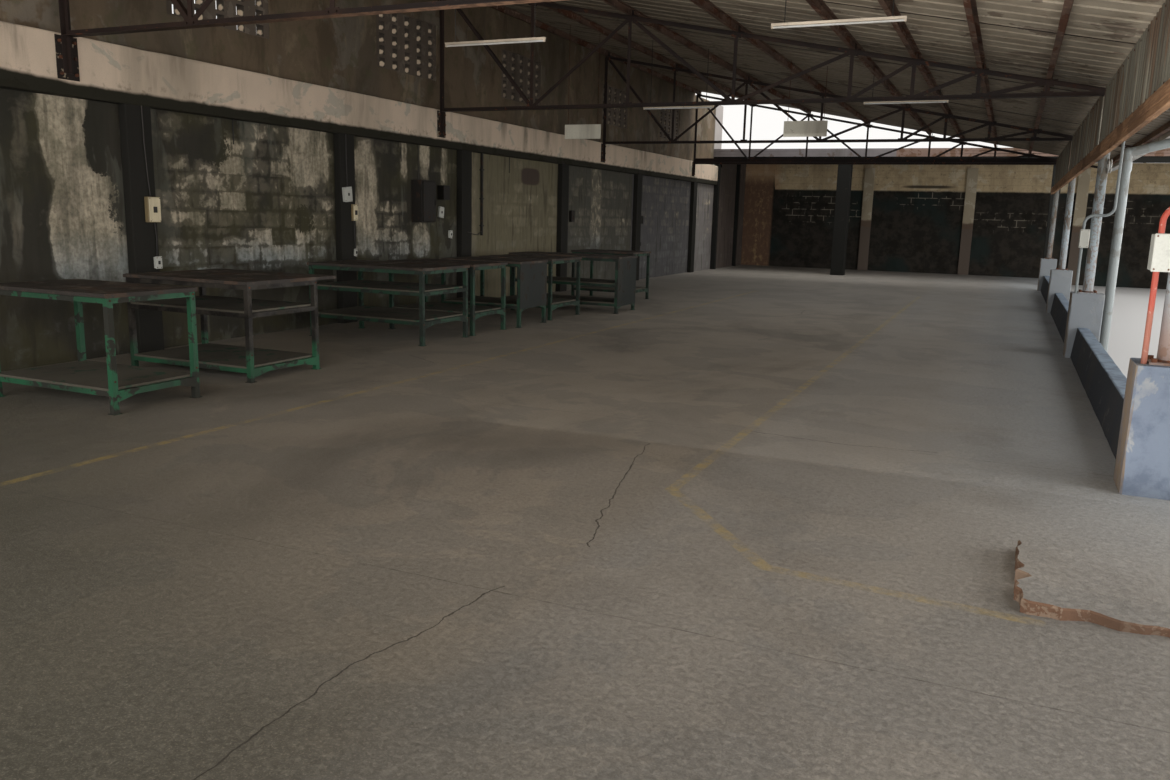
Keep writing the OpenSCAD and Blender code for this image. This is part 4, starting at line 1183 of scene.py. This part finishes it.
def aim_camera():
    """The photo's own viewpoint, fitted to points of the photo."""
    lens = bpy.data.cameras.new("camera")
    lens.lens, lens.sensor_width, lens.clip_end = 28.77, 36.0, 400.0
    camera = bpy.data.objects.new("camera", lens)
    bpy.context.scene.collection.objects.link(camera)
    camera.location = hall(8.062, -6.174, 1.503)
    yaw, dip, roll = -0.4174, -0.1854, 0.0255
    ahead = Vector((math.sin(yaw) * math.cos(dip), math.cos(yaw) * math.cos(dip), math.sin(dip)))
    level = Vector((math.cos(yaw), -math.sin(yaw), 0.0))
    right = level * math.cos(roll) + level.cross(ahead) * math.sin(roll)
    up = right.cross(ahead)
    camera.rotation_euler = Matrix((right, up, -ahead)).transposed().to_euler()
    bpy.context.scene.camera = camera


class HALL_OT_stage(bpy.types.Operator):
    """Floor, light, world and camera"""
    bl_idname = "hall.stage"
    bl_label = "Stage"

    def execute(self, context):
        context.scene.view_settings.view_transform = "Standard"
        lay_ground()
        light_world()
        hang_lamps()
        aim_camera()
        return {"FINISHED"}


# CAD nodes whose finish isn't named like their material slot
OWN_FINISH = {"rear_pilasters": "rear_pilaster", "bench_shelves": "bench_shelf",
              "truss_shoes": "shoe_paint", "post_box": "box_pale"}


class HALL_OT_finishes(bpy.types.Operator):
    """Materials for the CAD nodes"""
    bl_idname = "hall.finishes"
    bl_label = "Finishes"

    def execute(self, context):
        make_materials()
        courses_tree()
        fixings_tree()
        row_tree()
        slots = {p["node"]: p["material_slot"] for p in frame["record"]["subparts"]}
        for node, obj in frame["nodes"].items():
            key = OWN_FINISH.get(node, slots[node])
            for slot in obj.material_slots:
                slot.material = MATERIALS[key]
            if not obj.material_slots:
                obj.data.materials.append(MATERIALS[key])
        return {"FINISHED"}


def build_block_walls():
    """The three block walls, the side wall in two heights."""
    coursed("block_wall", [span("left_wall")], "left_wall", "painted_block", "y")
    coursed("block_rear_wall", [span("rear_wall")], "rear_wall", "rear_block", "x")
    low, high = span("strip_side_wall")
    ring_top = span("ring_beam")[1].z
    upper_end = span("upper_wall")[1].y
    coursed("block_side_wall", [(low, Vector((high.x, high.y, ring_top))),
                                (Vector((low.x, upper_end, ring_top)), high)],
            "strip_side_wall", "painted_block", "y")


class HALL_OT_block_walls(bpy.types.Operator):
    """Walls laid in courses of blocks"""
    bl_idname = "hall.block_walls"
    bl_label = "Block walls"

    def execute(self, context):
        build_block_walls()
        return {"FINISHED"}


def islands(node):
    """Boxes of the separate solids of a CAD node."""
    mesh = frame["nodes"][node].data
    parent = list(range(len(mesh.vertices)))
    place_of = {}

    def root(i):
        while parent[i] != i:
            parent[i] = parent[parent[i]]
            i = parent[i]
        return i

    for v in mesh.vertices:
        key = tuple(round(c, 5) for c in v.co)
        if key in place_of:
            parent[root(v.index)] = root(place_of[key])
        else:
            place_of[key] = v.index
    for polygon in mesh.polygons:
        first = polygon.vertices[0]
        for other in polygon.vertices[1:]:
            parent[root(other)] = root(first)
    found = {}
    for v in mesh.vertices:
        low, high = found.setdefault(root(v.index), (Vector(v.co), Vector(v.co)))
        for k in range(3):
            low[k], high[k] = min(low[k], v.co[k]), max(high[k], v.co[k])
    return sorted(found.values(), key=lambda b: tuple(round(c, 3) for c in b[0]))


def wear_members():
    """Straight concrete members, each solid a prism with chipped edges."""
    every = 0.09
    jobs = [("ring_beam", "y", "ring_plaster", 1.3), ("wall_pilasters", "z", "pilaster_paint", 0.8),
            ("rear_pilasters", "z", "rear_pilaster", 0.9), ("strip_columns", "z", "column_paint", 0.9),
            ("strip_beam", "x", "column_paint", 0.8), ("piers", "z", "pier_concrete", 1.5)]
    for node, axis, material, share in jobs:
        shape = Shape()
        for seed, (low, high) in enumerate(islands(node)):
            k = "xyz".index(axis)
            u, v = (k + 1) % 3, (k + 2) % 3
            shape.rough(rect(low[u], high[u], low[v], high[v]), axis, low[k], high[k],
                        sizes().chip * share, every, seed * 2.7 + k)
        settle("worn_" + node, shape, [material], replaces=[node])


def wear_kerbs():
    """Kerbs, whose face on the hall's side leans back."""
    shape = Shape()
    batter = 0.04
    for seed, (low, high) in enumerate(islands("kerbs")):
        outline = [(low.z, low.x), (high.z, low.x + batter), (high.z, high.x), (low.z, high.x)]
        shape.rough(outline, "y", low.y, high.y, sizes().chip, 0.1, seed * 1.9)
    settle("worn_kerbs", shape, ["kerb_paint"], replaces=["kerbs"])


def break_pad():
    """The pad at the way in: a wedge with a ragged outline and a broken rim."""
    low, high = span("entrance_pad")
    per_side, bite, thin_end = 22, 0.10, 0.015
    middle = (low + high) / 2
    rim = [(low.x, low.y), (high.x, low.y), (high.x, high.y), (low.x, high.y)]
    outline = []
    for a, b in zip(rim, rim[1:] + rim[:1]):
        for k in range(per_side):
            p = Vector((*a, 0)).lerp(Vector((*b, 0)), k / per_side)
            ragged = abs(noise.noise(Vector((p.x * 7, p.y * 7, 4.0)))) * bite
            p += (Vector((middle.x, middle.y, 0)) - p).normalized() * ragged
            outline.append((p.x, p.y))
    fall = (high.z - thin_end - low.z) / (high.x - low.x)

    def level(share, sink):
        shrunk = [(middle.x + (x - middle.x) * share, middle.y + (y - middle.y) * share)
                  for x, y in outline]
        return [(x, y, high.z - 0.001 - (x - low.x) * fall * 0.99 - sink) for x, y in shrunk]

    shape = Shape()
    shape.rings([[(x, y, low.z) for x, y in outline], level(1.0, 0.008), level(0.985, 0.0)])
    # The last face is the worn top, the others are the break
    shape.kinds = [1] * len(shape.faces)
    shape.kinds[-1] = 0
    settle("broken_pad", shape, ["floor_concrete", "broken_edge"],
           replaces=["entrance_pad"])


class HALL_OT_concrete(bpy.types.Operator):
    """Beams, pilasters, columns, piers, kerbs and the pad with worn edges"""
    bl_idname = "hall.concrete"
    bl_label = "Concrete"

    def execute(self, context):
        wear_members()
        wear_kerbs()
        break_pad()
        return {"FINISHED"}


def truss_points():
    """Panel points of a truss along x, from the ends of its web."""
    shares = (1 / 6, 1 / 3, 1 / 2, 2 / 3, 3 / 4, 5 / 6, 11 / 12)
    return [WEB_START + (HEEL_X - WEB_START) * share for share in shares]


def purlin_lines():
    """Purlins along x: one over each panel point, one at each end of the web and one at the eaves."""
    return [WEB_START] + truss_points() + [HEEL_X, span("gutter")[0].x - 0.06]


def chord_z(x):
    """Middle of the top chord at x."""
    return roof_z(x) - (PURLIN_H + CHORD / 2) / math.cos(PITCH)


def truss_bolts():
    """Two bolts on each side of both gussets of every panel point."""
    spots = []
    apart, plate = 0.04, 0.004
    for y in FRAME_Y:
        for x in truss_points():
            for dx in (-apart, apart):
                for z in (TRUSS_Z + 0.035, chord_z(x + dx) - 0.020):
                    for side in (-1, 1):
                        spots.append(((x + dx, y + side * plate, z), (0, side, 0)))
    heads("truss_bolts", spots, sizes().bolt, 0.012, "rusty_steel")


def plate_bolts():
    """Bolts of the shoes and of the post plates."""
    spots = []
    for low, high in islands("truss_shoes"):
        for y in (low.y + 0.035, high.y - 0.035):
            for z in (low.z + 0.05, (low.z + high.z) / 2, high.z - 0.05):
                spots.append(((high.x, y, z), (1, 0, 0)))
    for low, high in islands("posts"):
        for x in (POST_X - 0.075, POST_X + 0.075):
            for y in (low.y + 0.025, high.y - 0.025):
                spots.append(((x, y, low.z + 0.012), (0, 0, 1)))
    heads("plate_bolts", spots, sizes().bolt * 1.4, 0.022, "rusty_plate")


def purlin_cleats():
    """Small angles that hold the purlins."""
    shape = Shape()
    for y in FRAME_Y:
        for x in purlin_lines():
            z = roof_z(x) - PURLIN_H / math.cos(PITCH)
            shape.box((x + 0.034, y - 0.045, z - 0.002), (x + 0.040, y + 0.045, z + 0.070), 0.0015)
            shape.box((x + 0.034, y - 0.045, z - 0.008), (x + 0.100, y + 0.045, z - 0.001), 0.0015)
    settle("purlin_cleats", shape, ["rusty_steel"])


class HALL_OT_truss_fixings(bpy.types.Operator):
    """Bolts and cleats of the trusses, purlins and wall plates"""
    bl_idname = "hall.truss_fixings"
    bl_label = "Truss fixings"

    def execute(self, context):
        truss_bolts()
        plate_bolts()
        purlin_cleats()
        return {"FINISHED"}


def sheet_fixings():
    """A screw on every rib over each purlin, and at the laps from sheet to sheet a dark strip of painted
    shade.
    """
    s = sizes()
    rib_pitch, rib_top, first_lap, lap_wide, lap_thick = 0.310, 0.031, 3.01, 0.028, 0.003
    low, high = span("roof_sheets")
    length = high.y - low.y
    ribs = math.floor(length / rib_pitch + 1e-6)
    up = Vector((math.sin(PITCH), 0, math.cos(PITCH)))
    spots = []
    for x in purlin_lines():
        for i in range(ribs):
            y = low.y + (i + 0.5) * length / ribs
            spots.append((Vector((x, y, roof_z(x))) + up * rib_top, up))
    heads("roof_screws", spots, 0.009, 0.006, "rusty_steel")
    run = (high.x - low.x) * 0.999
    x = low.x + 0.004
    left = Vector((x, low.y + first_lap, roof_z(x)))
    along = Vector((math.cos(PITCH), 0, -math.sin(PITCH))) * (run / math.cos(PITCH) - 0.02)
    edge = Vector((0, lap_wide, 0))
    corners = [left, left + edge, left + edge + along, left + along]
    lap = Shape()
    lap.add([p - up * lap_thick for p in corners] + corners,
            [(3, 2, 1, 0), (4, 5, 6, 7), (0, 1, 5, 4), (1, 2, 6, 5), (2, 3, 7, 6), (3, 0, 4, 7)])
    repeated("roof_laps", lap, int((length - first_lap) / s.lap) + 1, s.lap, "lap_shade_strip")


def low_roof():
    """The corrugated sheet of the low roof."""
    low, high = span("strip_roof")
    wave, per_wave, sheet = 0.076, 6, 0.002
    steps = int((high.x - low.x) / wave) * per_wave
    half = (high.z - low.z - sheet) / 2
    bottom = [(low.x + (high.x - low.x) * k / steps,
               low.z + half + half * math.cos(2 * math.pi * k / per_wave)) for k in range(steps + 1)]
    outline = bottom + [(x, z + sheet) for x, z in reversed(bottom)]
    n = len(outline)
    points = [(x, y, z) for y in (low.y, high.y) for x, z in outline]
    faces = [(i, (i + 1) % n, n + (i + 1) % n, n + i) for i in range(n)]
    for k in range(steps):
        a, b, c, d = k, k + 1, n - 2 - k, n - 1 - k
        faces += [(b, c, d, a), (n + d, n + c, n + b, n + a)]
    shape = Shape()
    shape.add(points, faces)
    mesh = shape.mesh("low_roof")
    settle("low_roof_sheet", mesh, ["roof_sheet"], replaces=["strip_roof"])
    recalculated(mesh)


def low_fascia():
    """Two lengths of folded sheet that overlap, each with two beads."""
    low, high = span("strip_fascia")
    shape = Shape()
    joint, overlap, bead = hall(5.0, 0, 0).x, 0.05, 0.008
    for kind, (a, b) in enumerate(((low.x, joint + overlap), (joint, high.x))):
        shape.kind = kind
        front = low.y + (0.006 if kind else 0.0)
        shape.box((a, front, low.z), (b, front + 0.005, high.z), 0.001)
        shape.box((a, front, high.z - 0.006), (b, high.y, high.z - 0.001), 0.001)
        shape.box((a, front, low.z + 0.001), (b, high.y, low.z + 0.006), 0.001)
        for share in (0.33, 0.66):
            z = low.z + (high.z - low.z) * share
            shape.box((a, front, z - bead), (b, front + 0.011, z + bead), 0.003)
    settle("low_fascia", shape, ["fascia_sheet", "fascia_brown"], replaces=["strip_fascia"])


class HALL_OT_roof_fixings(bpy.types.Operator):
    """Screws and laps of the roof sheets, the corrugated low roof and its fascia"""
    bl_idname = "hall.roof_fixings"
    bl_label = "Roof fixings"

    def execute(self, context):
        sheet_fixings()
        low_roof()
        low_fascia()
        return {"FINISHED"}


def recalculated(mesh):
    """Turns all faces outwards."""
    work = bmesh.new()
    work.from_mesh(mesh)
    bmesh.ops.remove_doubles(work, verts=work.verts, dist=1e-5)
    bmesh.ops.recalc_face_normals(work, faces=work.faces)
    work.to_mesh(mesh)
    work.free()


def timber_rail():
    """The rail at the eaves, with a groove."""
    low, high = span("eaves_rail")
    right = POST_X - POST_R
    x, deep = low.x, low.x + 0.006
    outline = [(low.z, x), (low.z + 0.045, x), (low.z + 0.048, deep), (low.z + 0.056, deep),
               (low.z + 0.059, x), (high.z, x), (high.z, right), (low.z, right)]
    shape = Shape()
    shape.rough(outline, "y", low.y, high.y, 0.003, 0.25, 3.0)
    settle("timber_rail", shape, ["rail_timber"], replaces=["eaves_rail"])


def valance_screws():
    """Two rows of screws on each valance sheet."""
    spots = []
    count, margin = 14, 0.12
    for low, high in islands("valance_sheets"):
        for k in range(count):
            y = low.y + margin + (high.y - low.y - 2 * margin) * k / (count - 1)
            for z in (low.z + 0.03, high.z - 0.05):
                spots.append(((low.x, y, z), (-1, 0, 0)))
    heads("valance_screws", spots, 0.008, 0.005, "rusty_plate")


def gutter_brackets():
    """Flat straps around the gutter."""
    low, high = span("gutter")
    start, end = low.y + 0.3, low.y + 0.3 + 0.03
    foot, top = low.z - 0.003, high.z + 0.004
    spacing = 0.9
    bracket = Shape()
    bracket.box((low.x, start, foot), (high.x, end, low.z))
    bracket.box((high.x, start, foot), (high.x + 0.003, end, top))
    bracket.box((low.x, start, high.z), (high.x, end, top))
    repeated("gutter_brackets", bracket, int((high.y - low.y - 0.5) / spacing), spacing, "rusty_plate")


def post_welds():
    """A weld around the foot of each post."""
    shape = Shape()
    radius, plate = 0.066, 0.012
    ring = [(math.cos(t) * radius, math.sin(t) * radius) for t in turns(24)]
    z = span("piers")[1].z + plate
    for y in FRAME_Y:
        shape.rings([[(POST_X + a * r, y + b * r, z + h) for a, b in ring]
                     for r, h in ((1.0, 0.0), (0.93, 0.006), (0.85, 0.012))])
    settle("post_welds", shape, ["rusty_plate"], smooth=True)


def post_insulator():
    """A ribbed bobbin near the top of the third post."""
    shape = Shape()
    centre = Vector((POST_X + 0.035, FRAME_Y[2] - 0.030, FLOOR_Z + 2.19))
    profile = [(0.022, 0.0), (0.026, 0.009), (0.074, 0.011), (0.083, 0.017), (0.074, 0.023),
               (0.044, 0.026), (0.044, 0.032), (0.074, 0.035), (0.083, 0.041), (0.074, 0.047),
               (0.026, 0.050)]
    shape.rings([[centre + Vector((out, r * math.cos(t), r * math.sin(t))) for t in turns(16)]
                 for r, out in profile])
    settle("post_insulator", shape, ["gutter_plastic"], smooth=True)


class HALL_OT_open_side(bpy.types.Operator):
    """Timber rail, screws of the valance, gutter brackets and post fittings"""
    bl_idname = "hall.open_side"
    bl_label = "Open side"

    def execute(self, context):
        timber_rail()
        valance_screws()
        gutter_brackets()
        post_welds()
        post_insulator()
        return {"FINISHED"}


SCREW_INSET = 0.014


def screwed_box(shape, low, high, face, kinds=(0, 0)):
    """A box with a lid on one face: x, -x, y or -y, and the kinds of its body and lid."""
    lid, step = 0.012, 0.004
    low, high = Vector(low), Vector(high)
    k = "xy".index(face[-1])
    inner_low, inner_high = low.copy(), high.copy()
    lid_low, lid_high = low.copy(), high.copy()
    if face[0] == "-":
        inner_low[k] += lid
        lid_high[k] = inner_low[k]
    else:
        inner_high[k] -= lid
        lid_low[k] = inner_high[k]
    other = 1 - k
    for part_low, part_high, kind in ((inner_low, inner_high, kinds[0]), (lid_low, lid_high, kinds[1])):
        a, b = part_low.copy(), part_high.copy()
        shape.kind = kind
        inset = step if (part_low is inner_low) == (kinds[0] == kinds[1]) else 0.0
        a[other] += inset
        b[other] -= inset
        a.z += inset
        b.z -= inset
        shape.box(a, b, step)


def wall_switches():
    """Switches and boxes on the block wall; gives back the places of their screws."""
    shape = Shape()
    spots = []
    for low, high in islands("wall_boxes"):
        large = high.z - low.z > 0.2
        start = len(shape.points)
        screwed_box(shape, low, high, "x", (3, 0) if large else (1, 1))
        middle = (low + high) / 2
        shape.kind = 2
        half = (0.022, 0.030) if large else (0.012, 0.018)
        shape.box((high.x - 0.004, middle.y - half[0], middle.z - half[1]),
                  (high.x + 0.008, middle.y + half[0], middle.z + half[1]), 0.003)
        # Small boxes hang a little askew
        lean = 0.0 if large else 0.10 * math.sin(7.0 * (low.y + high.z))
        for k in range(start, len(shape.points)):
            x, y, z = shape.points[k]
            dy, dz = y - middle.y, z - middle.z
            shape.points[k] = (x, middle.y + dy - dz * lean, middle.z + dz + dy * lean)
        for y in (low.y + SCREW_INSET, high.y - SCREW_INSET):
            for z in (low.z + SCREW_INSET, high.z - SCREW_INSET):
                spots.append(((high.x, y, z), (1, 0, 0)))
    settle("switch_boxes", shape, ["box_plastic", "box_pale", "cable_black", "box_ochre"],
           replaces=["wall_boxes"])
    return spots


def post_switches():
    """The box on the post; gives back the places of its screws."""
    shape = Shape()
    spots = []
    for low, high in islands("post_box"):
        right = POST_X - POST_R - 0.001
        screwed_box(shape, low, (right, high.y, high.z), "-y")
        for x in (low.x + SCREW_INSET, right - SCREW_INSET):
            for z in (low.z + SCREW_INSET, high.z - SCREW_INSET):
                spots.append(((x, low.y, z), (0, -1, 0)))
        shape.kind = 1
        shape.box((right - 0.03, low.y + 0.05, low.z + 0.02),
                  (POST_X - 0.048, low.y + 0.14, low.z + 0.05), 0.002)
    settle("post_switches", shape, ["box_pale", "rusty_plate"], replaces=["post_box"])
    return spots


def switch_cabinet():
    """The dark cabinet on the block wall and the small boxes beside it."""
    shape = Shape()
    boards = sorted(islands("switch_board"), key=lambda b: b[0].z - b[1].z)
    low, high = boards[0]
    lid, rim = high.x - 0.035, 0.015
    shape.box(low, (lid, high.y, high.z), 0.004)
    shape.box((lid - 0.004, low.y + rim, low.z + rim), (high.x, high.y - rim, high.z - rim), 0.006)
    for z in (low.z + 0.1, high.z - 0.1):
        shape.tube([(lid, low.y + 0.010, z - 0.03), (lid, low.y + 0.010, z + 0.03)], 0.008)
    shape.box((high.x - 0.004, high.y - 0.06, low.z + 0.25),
              (high.x, high.y - 0.03, low.z + 0.33), 0.001)
    for small_low, small_high in boards[1:]:
        screwed_box(shape, small_low, small_high, "x")
    settle("switch_cabinet", shape, ["switch_paint"], replaces=["switch_board"])


def surface_cables():
    """Cables on the block wall and the clips of its conduit."""
    shape = Shape()
    top = 2.45
    cables = [[(0.11, 0.82, 1.57), (0.11, 0.80, 1.75), (0.11, 0.78, 2.1), (0.11, 0.775, top)],
              [(0.11, 0.85, 1.32), (0.112, 0.865, 1.15), (0.11, 0.855, 0.97)],
              [(0.01, 2.08, top), (0.01, 2.08, 2.18)], [(0.01, 5.29, top), (0.01, 5.29, 2.18)],
              [(0.11, 4.06, 1.35), (0.112, 4.07, 1.15), (0.11, 4.08, 0.975)],
              [(0.11, 3.94, 1.77), (0.11, 3.93, 2.1), (0.11, 3.93, top)],
              [(0.01, 5.72, 1.94), (0.01, 5.72, top)], [(0.01, 8.5, top), (0.01, 8.5, 2.18)],
              [(0.02, 7.56, 1.20), (0.03, 7.40, 1.13), (0.03, 7.2, 1.15), (0.02, 7.1, 1.20)],
              [(0.02, 6.90, 1.22), (0.12, 6.93, 1.18), (0.12, 7.05, 1.17), (0.02, 7.1, 1.20)]]
    for path in cables:
        shape.tube([hall(*p) for p in path], sizes().cable, 8)
    low, high = span("wall_conduit")
    x, y = low.x + 0.03, (low.y + high.y) / 2
    for share in (0.12, 0.45, 0.8):
        z = low.z + (high.z - low.z) * share
        shape.box((low.x, y - 0.05, z - 0.012), (low.x + 0.004, y + 0.05, z + 0.012), 0.001)
        shape.tube([(x, y, z - 0.01), (x, y, z + 0.01)], 0.033, 16)
    settle("surface_cables", shape, ["cable_black"])


class HALL_OT_boxes(bpy.types.Operator):
    """Switch boxes, cabinet, surface cables and the clips of the conduit"""
    bl_idname = "hall.boxes"
    bl_label = "Boxes"

    def execute(self, context):
        heads("box_screws", wall_switches() + post_switches(), 0.005, 0.003, "rusty_plate", 8)
        switch_cabinet()
        surface_cables()
        return {"FINISHED"}


def lamp_battens():
    """Battens on rods, each with a tube below."""
    shape = Shape()
    wide, narrow, holder, rod, cap = 0.0225, 0.012, 0.022, 0.005, 0.018
    for low, high in islands("light_battens"):
        y, base = (low.y + high.y) / 2, low.z
        foot, top = base + 0.024, base + 0.045
        shape.kind = 0
        shape.prism([(y - wide, top), (y - narrow, foot), (y + narrow, foot), (y + wide, top)],
                    "x", low.x, high.x)
        for x in (low.x, high.x - holder):
            shape.box((x, y - narrow, base), (x + holder, y + narrow, base + 0.028), 0.003)
        for x in (low.x + 0.125, high.x - 0.125):
            shape.kind = 2
            shape.tube([(x, y, base + 0.040), (x, y, roof_z(x))], rod, 8)
            shape.kind = 0
            shape.box((x - cap, y - cap, top - 0.002), (x + cap, y + cap, top + 0.003), 0.001)
        shape.kind = 1
        ends = (low.x + 0.020, high.x - 0.020)
        shape.tube([(x, y, base + 0.012) for x in ends], sizes().tube, 16)
    mesh = shape.mesh("lamps")
    settle("lamp_battens", mesh, ["batten_white", "lamp_tube", "cable_black"], replaces=["light_battens"])
    recalculated(mesh)


def bare_boards():
    """Hanging boards with a rim, on rods."""
    shape = Shape()
    tall, rim, inset, half, rim_half = 0.24, 0.012, 0.006, 0.003, 0.0075
    for low, high in islands("sign_boards"):
        y = (low.y + high.y) / 2
        top = low.z + tall
        shape.kind = 0
        shape.box((low.x + inset, y - half, low.z + inset), (high.x - inset, y + half, top - inset))
        for a, b in (((low.x, low.z), (high.x, low.z + rim)), ((low.x, top - rim), (high.x, top)),
                     ((low.x, low.z), (low.x + rim, top)), ((high.x - rim, low.z), (high.x, top))):
            shape.box((a[0], y - rim_half, a[1]), (b[0], y + rim_half, b[1]), 0.002)
        shape.kind = 1
        for x in (low.x + 0.06, high.x - 0.06):
            shape.tube([(x, y, top - 0.01), (x, y, roof_z(x))], 0.004, 8)
    settle("bare_boards", shape, ["sign_board", "rusty_plate"], replaces=["sign_boards"])


class HALL_OT_lamps(bpy.types.Operator):
    """Light battens and bare boards with their rods"""
    bl_idname = "hall.lamps"
    bl_label = "Lamps and boards"

    def execute(self, context):
        lamp_battens()
        bare_boards()
        return {"FINISHED"}


def bench_tops():
    """Bench tops with worn edges."""
    shape = Shape()
    for seed, (low, high) in enumerate(islands("bench_tops")):
        shape.rough(rect(low.y, high.y, low.z, high.z), "x", low.x, high.x, 0.003, 0.15, seed * 3.1)
    settle("worn_bench_tops", shape, ["bench_top"], replaces=["bench_tops"])


def bench_fittings():
    """Feet under the legs, and bolts where rails meet legs."""
    feet, spots = Shape(), []
    leg, rim = 0.045, 0.012
    for low, high in islands("bench_frames"):
        for x in (low.x, high.x - leg):
            for y in (low.y, high.y - leg):
                feet.box((x - rim, y - rim, low.z), (x + leg + rim, y + leg + rim, low.z + 0.006), 0.001)
        for x, way in ((low.x, -1), (high.x, 1)):
            for y in (low.y + 0.022, high.y - 0.022):
                for z in (high.z - 0.02, low.z + 0.24):
                    spots.append(((x, y, z), (way, 0, 0)))
    settle("bench_feet", feet, ["bench_paint"])
    heads("bench_bolts", spots, 0.008, 0.006, "rusty_plate")


class HALL_OT_benches(bpy.types.Operator):
    """Worn bench tops, feet and bolts"""
    bl_idname = "hall.benches"
    bl_label = "Benches"

    def execute(self, context):
        bench_tops()
        bench_fittings()
        return {"FINISHED"}


OPERATORS = [HALL_OT_stage, HALL_OT_finishes, HALL_OT_block_walls, HALL_OT_concrete, HALL_OT_truss_fixings,
             HALL_OT_roof_fixings, HALL_OT_open_side, HALL_OT_boxes, HALL_OT_lamps, HALL_OT_benches]


class HALL_PT_panel(bpy.types.Panel):
    """Lists the sizes, the colours and the steps of the hall"""
    bl_label = "Factory hall"
    bl_idname = "HALL_PT_panel"
    bl_space_type = "VIEW_3D"
    bl_region_type = "UI"
    bl_category = "Hall"

    def draw(self, context):
        column = self.layout.column(align=True)
        for group in (context.scene.hall_sizes, context.scene.hall_colours):
            for key in group.__annotations__:
                column.prop(group, key)
        for operator in OPERATORS:
            column.operator(operator.bl_idname)


CLASSES = [HallSizes, HallColours, *OPERATORS, HALL_PT_panel]


def register():
    for each in CLASSES:
        bpy.utils.register_class(each)
    bpy.types.Scene.hall_sizes = bpy.props.PointerProperty(type=HallSizes)
    bpy.types.Scene.hall_colours = bpy.props.PointerProperty(type=HallColours)


def unregister():
    del bpy.types.Scene.hall_colours
    del bpy.types.Scene.hall_sizes
    for each in reversed(CLASSES):
        bpy.utils.unregister_class(each)


def main():
    register()
    bpy.ops.hall.stage()
    bpy.ops.hall.finishes()
    bpy.ops.hall.block_walls()
    bpy.ops.hall.concrete()
    bpy.ops.hall.truss_fixings()
    bpy.ops.hall.roof_fixings()
    bpy.ops.hall.open_side()
    bpy.ops.hall.boxes()
    bpy.ops.hall.lamps()
    bpy.ops.hall.benches()


if __name__ == "__main__":
    main()
